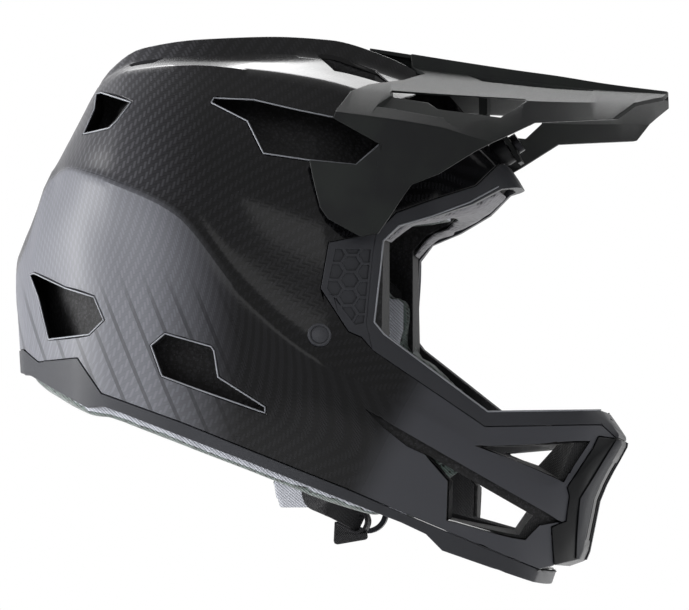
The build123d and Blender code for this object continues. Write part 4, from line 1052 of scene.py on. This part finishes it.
# Fine light edges: every cut's edge is rounded
for piece, width_mm in ((shell, 0.5), (eyeport_trim, 0.45), (base_trim, 0.5), (mouth_cover, 0.7),
                        (peak, 0.5), (temple_panels[0], 0.25), (temple_panels[1], 0.25)):
    width = width_mm * MM
    tidied(piece, 1.1 * width)
    edge = piece.modifiers.new("edge", "BEVEL")
    edge.width = width
    edge.segments = 2
    edge.limit_method = "ANGLE"
    edge.angle_limit = math.radians(38)
    edge.use_clamp_overlap = False
    edge.harden_normals = True
    settle(piece)


# The chin's foam, kept inside the shell's skin
FOAM_GAP = 0.3 * MM
chin_foam = placed("chin_foam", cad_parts["liner_chin_bar"].data.copy())
settle(welded(chin_foam))
kept_by(chin_foam, skin(SHELL_WALL + FOAM_GAP))
smoothed(chin_foam)


# Soft pieces

CLOTH_FRAMES = 20


def puffed(name, node, swell, grain):
    """A pad blown up from its plain solid as a sewn cover over foam: its faces bulge and its
    edges stay soft. It keeps near the plain solid."""
    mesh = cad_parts[node].data.copy()
    mesh.name = name
    piece = placed(name, mesh)
    settle(welded(piece))
    plain = tree_of(piece)
    grid = piece.modifiers.new("grid", "REMESH")
    grid.mode = "VOXEL"
    grid.voxel_size = grain
    soften = piece.modifiers.new("soften", "SMOOTH")
    soften.iterations = 4
    settle(piece)
    cover = piece.modifiers.new("cover", "CLOTH")
    cover.settings.quality = 4
    cover.settings.use_pressure = True
    cover.settings.uniform_pressure_force = 4.0
    cover.settings.tension_stiffness = 20
    cover.settings.bending_stiffness = 2.0
    cover.settings.effector_weights.gravity = 0.0
    cover.point_cache.frame_start = 1
    cover.point_cache.frame_end = CLOTH_FRAMES
    for step in range(1, CLOTH_FRAMES + 1):
        bpy.context.scene.frame_set(step)
        bpy.context.evaluated_depsgraph_get()
    settle(piece)
    bpy.context.scene.frame_set(1)
    # A pad stays as near its plain solid as its foam lets it
    for corner in piece.data.vertices:
        place, normal, _, far = plain.find_nearest(corner.co)
        if far > swell and (corner.co - place).dot(normal) > 0:
            corner.co = place + (corner.co - place).normalized() * swell
    finer = piece.modifiers.new("finer", "SUBSURF")
    finer.levels = finer.render_levels = 1
    settle(piece)
    piece.data.shade_smooth()
    return piece


def edged(piece, facing, from_share, to_share):
    """Marks a pad's sides as open edging: where its surface turns away from the way it faces."""
    marks = piece.data.attributes.new("edging", "FLOAT", "POINT")
    turns = [1.0 - abs(corner.normal.dot(Vector(facing))) for corner in piece.data.vertices]
    span = to_share - from_share
    marks.data.foreach_set("value", [min(max((turn - from_share) / span, 0), 1) for turn in turns])
    return piece


PADS = (
    ("crown_padding", "crown_pad", (0, 0, 1), "helmet"),
    ("forehead_padding", "forehead_pad", (1, 0, 0), "helmet"),
    ("brow_padding", "brow_pad", (0, 0, 1), "helmet"),
    ("neck_roll_padding", "neck_roll", (0, 1, 0), "helmet"),
    ("cheek_padding_right", "cheek_pad_right", (0, 1, 0), "cheek_pad_right"),
    ("cheek_padding_left", "cheek_pad_left", (0, 1, 0), "cheek_pad_left"),
    ("strap_padding_right", "strap_pad_right", (0, 0.8, 0.6), "helmet"),
    ("strap_padding_left", "strap_pad_left", (0, -0.8, 0.6), "helmet"))
# How far a pad may swell, and the grain of its mesh, for the strap's small pads and for the others
SMALL_PAD = (1.0 * MM, 1.6 * MM)
LARGE_PAD = (2.0 * MM, 4.0 * MM)
pads = {}
for name, node, facing, _ in PADS:
    swell, grain = SMALL_PAD if node.startswith("strap") else LARGE_PAD
    pads[node] = edged(puffed(name, node, swell, grain), facing, 0.25, 0.5)

# The cheek pads keep behind the eyeport's rim, and end in open mesh edging there
CHEEK_HOLD = 10 * MM
CHEEK_SHARE = 0.85
CHEEK_EDGE = 60 * MM
CHEEK_EDGE_WIDTH = 4 * MM
for node in ("cheek_pad_right", "cheek_pad_left"):
    marks = pads[node].data.attributes["edging"].data
    for corner, mark in zip(pads[node].data.vertices, marks):
        if corner.co.x > CHEEK_HOLD:
            corner.co.x = CHEEK_HOLD + (corner.co.x - CHEEK_HOLD) * CHEEK_SHARE
        mark.value = max(mark.value, min((corner.co.x - CHEEK_EDGE) / CHEEK_EDGE_WIDTH, 1.0))

# The strap's pads hang a little lower and further forward than their plain solids
PAD_HOLD = -140 * MM
PAD_STRETCH = 0.42
PAD_FORWARD = 2.8 * MM
PAD_LEAN = 0.22
for node in ("strap_pad_right", "strap_pad_left"):
    for corner in pads[node].data.vertices:
        below = max(PAD_HOLD - corner.co.z, 0)
        corner.co.x += PAD_FORWARD - below * PAD_LEAN
        corner.co.z -= below * PAD_STRETCH


# Webbing

def smooth_path(points, steps=10):
    """A smooth path through the points."""
    points = [Vector(point) for point in points]
    ways = [points[1] - points[0]]
    ways += [(after - before) / 2 for before, after in zip(points, points[2:])]
    ways.append(points[-1] - points[-2])
    path = []
    for place in range(len(points) - 1):
        for step in range(steps):
            path.append(eased(points[place], points[place + 1], ways[place], ways[place + 1], step / steps))
    return path + [points[-1]]


# A band's cross-section, as shares of half its width and half its wall
BAND_SHARES = ((-1, -0.4), (-0.96, -1), (-0.5, -1), (0, -1), (0.5, -1), (0.96, -1), (1, -0.4),
               (1, 0.4), (0.96, 1), (0.5, 1), (0, 1), (-0.5, 1), (-0.96, 1), (-1, 0.4))


def band(name, points, across, width, wall):
    """A woven band along a path, with rounded edges and a UV map in metres. Its width lies along
    the given ways, one for each point, square to the path."""
    path = smooth_path(points)
    ways_across = smooth_path(across)
    rings, lengths = [], [0.0]
    for place, here in enumerate(path):
        before, after = path[max(place - 1, 0)], path[min(place + 1, len(path) - 1)]
        way = (after - before).normalized()
        side = (ways_across[place] - way * way.dot(ways_across[place])).normalized()
        up = way.cross(side)
        if place:
            lengths.append(lengths[-1] + (here - path[place - 1]).length)
        rings.append([here + side * out * width / 2 + up * lift * wall / 2 for out, lift in BAND_SHARES])
    count = len(BAND_SHARES)
    outs = [(out + 1) / 2 for out, _ in BAND_SHARES]
    spots = []
    for start, stop in zip(lengths, lengths[1:]):
        for place, out in enumerate(outs):
            after = outs[(place + 1) % count]
            spots += [(start, out * width), (start, after * width),
                      (stop, after * width), (stop, out * width)]
    spots += [(0, 0)] * (2 * count)
    made = new_piece(name, [point for ring in rings for point in ring],
                     wall_faces(count, len(rings)) + end_faces(count, len(rings)))
    uv_map(made, "weave", spots)
    faces_out(made)
    return smoothed(made, 50)


def pathed(shares):
    """A path in metres from shares of the shell's length, width and height."""
    return [(along * SHELL_LENGTH, out * SHELL_WIDTH, up * SHELL_HEIGHT) for along, out, up in shares]


STRAP_WIDTH = 18 * MM
STRAP_WALL = 1.8 * MM
HEM_WALL = 1.4 * MM
HEM_SHIFT = 3.8 * MM
HEM_LOOP_MM = ((7.0, -2.0), (5.3, -3.0), (0, -3.0), (-4.6, -2.4), (-4.9, 0), (-4.6, 2.4), (0, 3.0),
               (5.3, 3.0), (7.0, 2.0))
# The tab and its hem: how far before the middle each begins and ends, and their rounded edge
TAB_DEPTHS = (50.4 * MM, 53.2 * MM)
TAB_HEM_DEPTHS = (52.6 * MM, 54.6 * MM)
TAB_EDGE = 0.7 * MM
ALONG = Vector((1, 0, 0))
# Below the helmet the right strap turns on its edge: its width leans up and forward from the lower edge
ON_EDGE = Vector((0.5, 0.15, 0.85))


hanging = [seen(pixel) + ON_EDGE * STRAP_WIDTH / 2 for pixel in STRAP_EDGE_PX]
upright = pathed(STRAP_PATH_SHARES) + [seen(STRAP_TURN_PX)]
strap_right = band("webbing_right", upright + hanging, [ALONG] * len(upright) + [ON_EDGE] * len(hanging),
                   STRAP_WIDTH, STRAP_WALL)
left_path = pathed(LEFT_PATH_SHARES)
strap_left = band("webbing_left", left_path, [ALONG] * len(left_path), STRAP_WIDTH, STRAP_WALL)
hem = left_path[-1]
hem_loop = [(hem[0], hem[1] - HEM_SHIFT + across * MM, hem[2] + up * MM) for across, up in HEM_LOOP_MM]
hem_band = band("webbing_hem", hem_loop, [ALONG] * len(hem_loop), STRAP_WIDTH, HEM_WALL)
loop = [seen(pixel) for pixel in STRAP_LOOP_PX]
strap_fold = band("webbing_fold", loop, [Vector((0, 1, 0))] * len(loop), STRAP_WIDTH, STRAP_WALL)
strap_tab = prism(outline(STRAP_TAB_PX), *TAB_DEPTHS, False)
tab_hem = prism(outline(TAB_HEM_PX), *TAB_HEM_DEPTHS, False)
for layer, name in ((strap_tab, "webbing_tab"), (tab_hem, "webbing_tab_hem")):
    layer.name = layer.data.name = name
    places = [layer.data.vertices[corner.vertex_index].co for corner in layer.data.loops]
    uv_map(layer, "weave", [(place.z, place.x) for place in places])
    settle(bevelled(layer, TAB_EDGE, 38))


# The round caps over the strap's rivets: a raised ring round a shallow disc

CAP_PROFILE_MM = ((6.9, -1.5), (6.9, 0.7), (6.6, 1.15), (6.1, 1.3), (5.5, 1.15), (5.3, 0.6), (5.0, 0.55),
                  (4.8, 0.95), (4.3, 1.1), (0.05, 1.25))
CAP_REACH = 50 * MM
ROUND_STEPS = 48


def lathed(name, profile, place, way):
    """A round piece from its profile, as radius and height, standing on a place along a way."""
    count = ROUND_STEPS
    turn = Vector(way).to_track_quat("Z", "Y")
    points = [Vector(place) + turn @ Vector((radius * math.cos(2 * math.pi * step / count),
                                             radius * math.sin(2 * math.pi * step / count), height))
              for radius, height in profile for step in range(count)]
    made = new_piece(name, points, wall_faces(count, len(profile)) + end_faces(count, len(profile)))
    return smoothed(faces_out(made), 35)


cap_start = hit(STRAP_CAP_PX, skin_tree) - Vector((0, CAP_REACH, 0))
cap_place, cap_way, _, _ = skin_tree.ray_cast(cap_start, Vector((0, 1, 0)))
caps = []
for side, name in ((1, "right"), (-1, "left")):
    place, way = (Vector((found.x, found.y * side, found.z)) for found in (cap_place, cap_way))
    caps.append(lathed("strap_cap_" + name, [(r * MM, h * MM) for r, h in CAP_PROFILE_MM], place, way))
cap, other_cap = caps
reworked(cap, lambda mesh: mesh.from_mesh(other_cap.data))
drop(other_cap)
cap.name = "strap_caps"


# The woven lining: one thin cloth over the inside of the chin bar

CLOTH_WALL = 0.9 * MM
CLOTH_GAP = 0.2 * MM
CLOTH_STEP = 6 * MM
CLOTH_HEIGHTS = (-215 * MM, -17 * MM)
CLOTH_LEVELS = 24
CLOTH_REAR = 69 * MM
CLOTH_TOP = -18 * MM


def lining_cloth_piece(name, wall):
    """A strip of cloth bent round the chin space; the bar's vents are cut from it afterwards."""
    reach = [(along - CLOTH_GAP, out - CLOTH_GAP) for along, out in shared(CHIN_SPACE_SHARES)]
    front = Vector((CHIN_SPACE_FRONT_SHARE * SHELL_LENGTH - CLOTH_GAP, 0))
    path = [Vector((x, -y)) for x, y in reach] + [front] + [Vector((x, y)) for x, y in reversed(reach)]
    steps = []
    for start, stop in zip(path, path[1:]):
        count = max(1, round((stop - start).length / CLOTH_STEP))
        steps += [start + (stop - start) * part / count for part in range(count)]
    steps.append(path[-1])
    inner = []
    for place, here in enumerate(steps):
        way = (steps[min(place + 1, len(steps) - 1)] - steps[max(place - 1, 0)]).normalized()
        inner.append(here + Vector((-way.y, way.x)) * wall)
    (low, high), levels = CLOTH_HEIGHTS, CLOTH_LEVELS
    points = []
    ring = steps + inner[::-1]
    width = len(ring)
    for level in range(levels + 1):
        height = low + (high - low) * level / levels
        points += [(x, y, height) for x, y in ring]
    faces = wall_faces(width, levels + 1)
    count = len(steps)
    for level in (0, levels):
        for place in range(count - 1):
            far = width - 1 - place
            faces.append((level * width + place, level * width + place + 1,
                          level * width + far - 1, level * width + far))
    return faces_out(new_piece(name, points, faces))


chin_cloth = lining_cloth_piece("chin_cloth", CLOTH_WALL)
cut_by(chin_cloth, through(rim_points), through(base_points),
       through(outline(ARM_VENT_PX)), through(outline(JAW_INNER_PX)),
       plan_prism(BREATH_SLOT, *BREATH_SLOT_HEIGHTS))
kept_by(chin_cloth, skin(TRIM_DEPTH),
        standing([(CLOTH_REAR, -FAR), (FAR, -FAR), (FAR, FAR), (CLOTH_REAR, FAR)], -FAR, CLOTH_TOP))
smoothed(chin_cloth)


# The woven walls of the chin's vents: each narrows from the shell's opening inwards

VENT_WALL_GAP = 0.6 * MM
VENT_PLAY = 0.4 * MM
VENT_ROOM = 0.5 * MM
VENT_ROOM_END_SHARE = 0.35


def vent_walls(name, opening_px, inner_px, outer):
    """The cloth-covered sides of one pair of vents, from an opening in the shell to a smaller one
    inside."""
    walls = through(outline(opening_px))
    walls.name = name
    kept_by(walls, skin(SHELL_WALL + VENT_WALL_GAP))
    wide = widened(outline(opening_px), VENT_PLAY)
    narrow = outline(inner_px)
    inner = inner_px[0][2] * MM
    cut_by(walls, tool_through([[(x, out, z) for x, z in ring] for out, ring in (
        (-FAR, wide), (-outer, wide), (-inner, narrow), (inner, narrow), (outer, wide), (FAR, wide))]))
    front = (CHIN_SPACE_FRONT_SHARE * SHELL_LENGTH - VENT_ROOM, 0)
    room = [(x - VENT_ROOM, -y + VENT_ROOM) for x, y in shared(CHIN_SPACE_SHARES)]
    room = [(0, -VENT_ROOM_END_SHARE * SHELL_WIDTH)] + room + [front]
    room += [(x, -y) for x, y in reversed(room[:-1])]
    cut_by(walls, standing(room, -FAR, FAR), through(rim_points))
    return smoothed(walls)


arm_walls = vent_walls("arm_vent_walls", ARM_VENT_PX, ARM_INNER_PX, 60 * MM)
jaw_walls = vent_walls("jaw_vent_walls", JAW_VENT_PX, JAW_INNER_PX, 82 * MM)


# Rounded edges round the windows and the eyeport, in a light grey that is a painted highlight of the light
# these edges catch

BEAD_STEP_PX = 5
WINDOW_BEAD = 0.45 * MM
RIM_BEAD = 0.5 * MM


def bead_round(name, runs, tree, radius):
    """A thin rounded edge along lines read from the photograph, and its mirror image."""
    line = bpy.data.curves.new(name, "CURVE")
    line.dimensions = "3D"
    line.bevel_depth = radius
    line.bevel_resolution = 2
    for run, closed in runs:
        places = []
        for start, stop in zip(run, run[1:] + run[:1] if closed else run[1:]):
            span = math.hypot(stop[0] - start[0], stop[1] - start[1])
            count = max(1, round(span / BEAD_STEP_PX))
            for step in range(count):
                places.append([a + (b - a) * step / count for a, b in zip(start, stop)])
        if not closed:
            places.append(list(run[-1]))
        hits = [hit(place, tree) for place in places]
        for side in (1, -1):
            part = line.splines.new("POLY")
            part.points.add(len(hits) - 1)
            part.use_cyclic_u = closed
            for point, place in zip(part.points, hits):
                point.co = (place.x, place.y * side, place.z, 1.0)
    made = placed(name, line)
    graph = bpy.context.evaluated_depsgraph_get()
    mesh = bpy.data.meshes.new_from_object(made.evaluated_get(graph), depsgraph=graph)
    drop(made)
    mesh.shade_smooth()
    return placed(name, mesh)


window_beads = bead_round("window_edge_beads", [
    (list(SIDE_WINDOW_PX[:6]), False), (list(SIDE_WINDOW_PX[6:]) + [SIDE_WINDOW_PX[0]], False),
    (list(REAR_WINDOW_PX), True), (list(UPPER_REAR_VENT_PX), True), (list(SIDE_VENT_PX), True)],
    skin_tree, WINDOW_BEAD)
rim_run = [EYEPORT_RIM_PX[place] for place in (11, 12, 13, 14, 0, 1, 2, 3, 4, 5)]
rim_bead = bead_round("eyeport_rim_bead", [(rim_run, False)], skin_tree_at(-TRIM_PROUD), RIM_BEAD)

# The rib down the chin cover, coloured lighter than the cover as a painted highlight of a lit bevel strip
RIB_INNER = 22 * MM
RIB_PROUD = 0.7 * MM
RIB_SINK = 0.5 * MM
cover_rib = prism(outline(COVER_RIB_PX), RIB_INNER, FAR)
cover_rib.name = "mouth_cover_rib"
kept_by(cover_rib, skin(-2 * TRIM_PROUD - RIB_PROUD))
cut_by(cover_rib, skin(-2 * TRIM_PROUD + RIB_SINK))
smoothed(cover_rib)


# What the frame keeps: the solid pieces, with their edges rounded and their finishes

def dressed(node, finish, width=0.5 * MM, degrees=28.0):
    """A CAD node with a finish, its edges rounded by live modifiers."""
    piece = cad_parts[node]
    piece.data.materials.clear()
    piece.data.materials.append(finish)
    bevelled(piece, width, degrees)


def finished(piece, finish, slot, *nodes, body="helmet"):
    """A new piece with its finish, in place of its CAD nodes."""
    piece.data.materials.clear()
    piece.data.materials.append(finish)
    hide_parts(*nodes)
    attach(piece, body)
    return piece


finished(shell, carbon, "carbon_shell", "shell")
finished(eyeport_trim, soft_rubber, "rubber", "eyeport_trim")
for panel, node in zip(temple_panels, ("temple_panel_right", "temple_panel_left")):
    finished(panel, soft_rubber, "rubber", node)
finished(base_trim, soft_rubber, "rubber", "base_trim")
finished(mouth_cover, dark_plastic, "grille_plastic", "mouth_vent_cover")
finished(peak, peak_nylon, "peak_plastic", "peak", body="peak")
dressed("liner_crown", bead_foam, 1.2 * MM, 35)
finished(chin_foam, bead_foam, "foam", "liner_chin_bar")
for node in ("cheek_core_right", "cheek_core_left"):
    dressed(node, bead_foam, 1.5 * MM, 35)
for name, node, _, body in PADS:
    finish = brow_knit if node == "brow_pad" else pad_knit
    finished(pads[node], finish, "mesh_fabric", node, body=body)
finished(chin_cloth, lining_cloth, "lining_fabric", "chin_lining")
for piece, *nodes in ((strap_right, "chin_strap_right"), (strap_left, "chin_strap_left"), (hem_band,),
                      (strap_fold, "chin_strap_fold"), (strap_tab, "chin_strap_tab"), (tab_hem,)):
    finished(piece, webbing, "webbing", *nodes)
dressed("cheek_pad_snaps", dark_plastic)
dressed("strap_rivets", steel, 0.3 * MM)
finished(arm_walls, lining_cloth, "lining_fabric")
finished(jaw_walls, lining_cloth, "lining_fabric")
# The beads' light grey is a painted highlight along the window edges and the eyeport's rim
finished(window_beads, edge_highlight_paint, "carbon_shell")
finished(rim_bead, edge_highlight_paint, "rubber")
finished(cover_rib, rib_highlight_plastic, "grille_plastic")
finished(cap, cap_plastic, "grille_plastic", "strap_rivet_caps")
for node, finish, slot in (
        ("d_ring_inner", dark_steel, "steel"), ("d_ring_outer", dark_steel, "steel"),
        ("peak_tongue", peak_nylon, "peak_plastic"), ("peak_adjuster_boss", dark_plastic, "grille_plastic"),
        ("peak_adjuster_screw", black_alloy, "dark_metal"), ("peak_adjuster_nut", black_alloy, "dark_metal"),
        ("peak_pivot_studs", black_alloy, "dark_metal")):
    dressed(node, finish)


# The photograph's view, the lamps and the floor

# Each lamp's name, place, size and power, and what they all face
LAMPS = (("rear_lamp", (-1.6, -0.5, 0.35), (0.7, 1.4), 80), ("top_lamp", (-0.1, 1.60, 1.55), (1.8, 0.75), 28),
         ("near_lamp", (0.5, -2.2, 0.9), (1.2, 0.6), 4), ("front_lamp", (1.6, 0.5, 0.2), (0.7, 1.2), 4))
LAMP_TARGET = Vector((0.02, 0, -0.04))


def looking_camera():
    """The camera as the photograph was taken: a long lens level with the helmet's lower half."""
    view = bpy.data.cameras.new("camera")
    view.lens = VIEW_LENS
    view.sensor_width = 36.0
    view.clip_end = 30.0
    made = placed("camera", view)
    made.location = VIEW_TARGET + VIEW_AWAY * VIEW_DISTANCE
    made.rotation_euler = (-VIEW_AWAY).to_track_quat("-Z", "Y").to_euler()
    bpy.context.scene.camera = made


def soft_lamp(name, place, size, power):
    """A broad area lamp that faces the helmet."""
    light = bpy.data.lights.new(name, "AREA")
    light.shape = "RECTANGLE"
    light.size, light.size_y = size
    light.energy = power
    made = placed(name, light)
    made.location = place
    made.rotation_euler = (LAMP_TARGET - Vector(place)).to_track_quat("-Z", "Y").to_euler()


looking_camera()
for name, place, size, power in LAMPS:
    soft_lamp(name, place, size, power)

# Pale paper floor, which glows a little so that it stays pale away from the lamps
paper, paper_tree, paper_shader = new_material("studio_paper", Roughness=0.9, Emission_Strength=0.75)
paper_noise = noise_value(paper_tree, object_place(paper_tree), 4 * MM)
paper_tone = mixed(paper_tree, paper_noise, "f0f0f0", "f8f8f8")
feed(paper_shader, Base_Color=paper_tone, Emission_Color=paper_tone)
FLOOR_LEVEL = -262 * MM
FLOOR_HALF = 12.0
floor = new_piece("studio_floor", [(x * FLOOR_HALF, y * FLOOR_HALF, FLOOR_LEVEL)
                                   for x, y in ((-1, -1), (1, -1), (1, 1), (-1, 1))], [(0, 1, 2, 3)])
floor.data.materials.append(paper)

world = bpy.data.worlds.new("studio")
bpy.context.scene.world = world
world.use_nodes = True
world_tree = world.node_tree
world_tree.nodes.clear()
rays = add_node(world_tree, "ShaderNodeLightPath")
direct = math_node(world_tree, "MAXIMUM", rays.outputs["Is Camera Ray"],
                   math_node(world_tree, "MAXIMUM", rays.outputs["Is Glossy Ray"],
                             rays.outputs["Is Transmission Ray"]))
backdrop = add_node(world_tree, "ShaderNodeBackground", {"Color": (1, 1, 1, 1), "Strength": 1.0})
surround = add_node(world_tree, "ShaderNodeBackground", {"Color": (1, 1, 1, 1), "Strength": 0.25})
either = add_node(world_tree, "ShaderNodeMixShader", {0: direct, 1: surround.outputs[0],
                                                      2: backdrop.outputs[0]})
add_node(world_tree, "ShaderNodeOutputWorld", {"Surface": either.outputs[0]})
bpy.context.scene.view_settings.view_transform = "Standard"
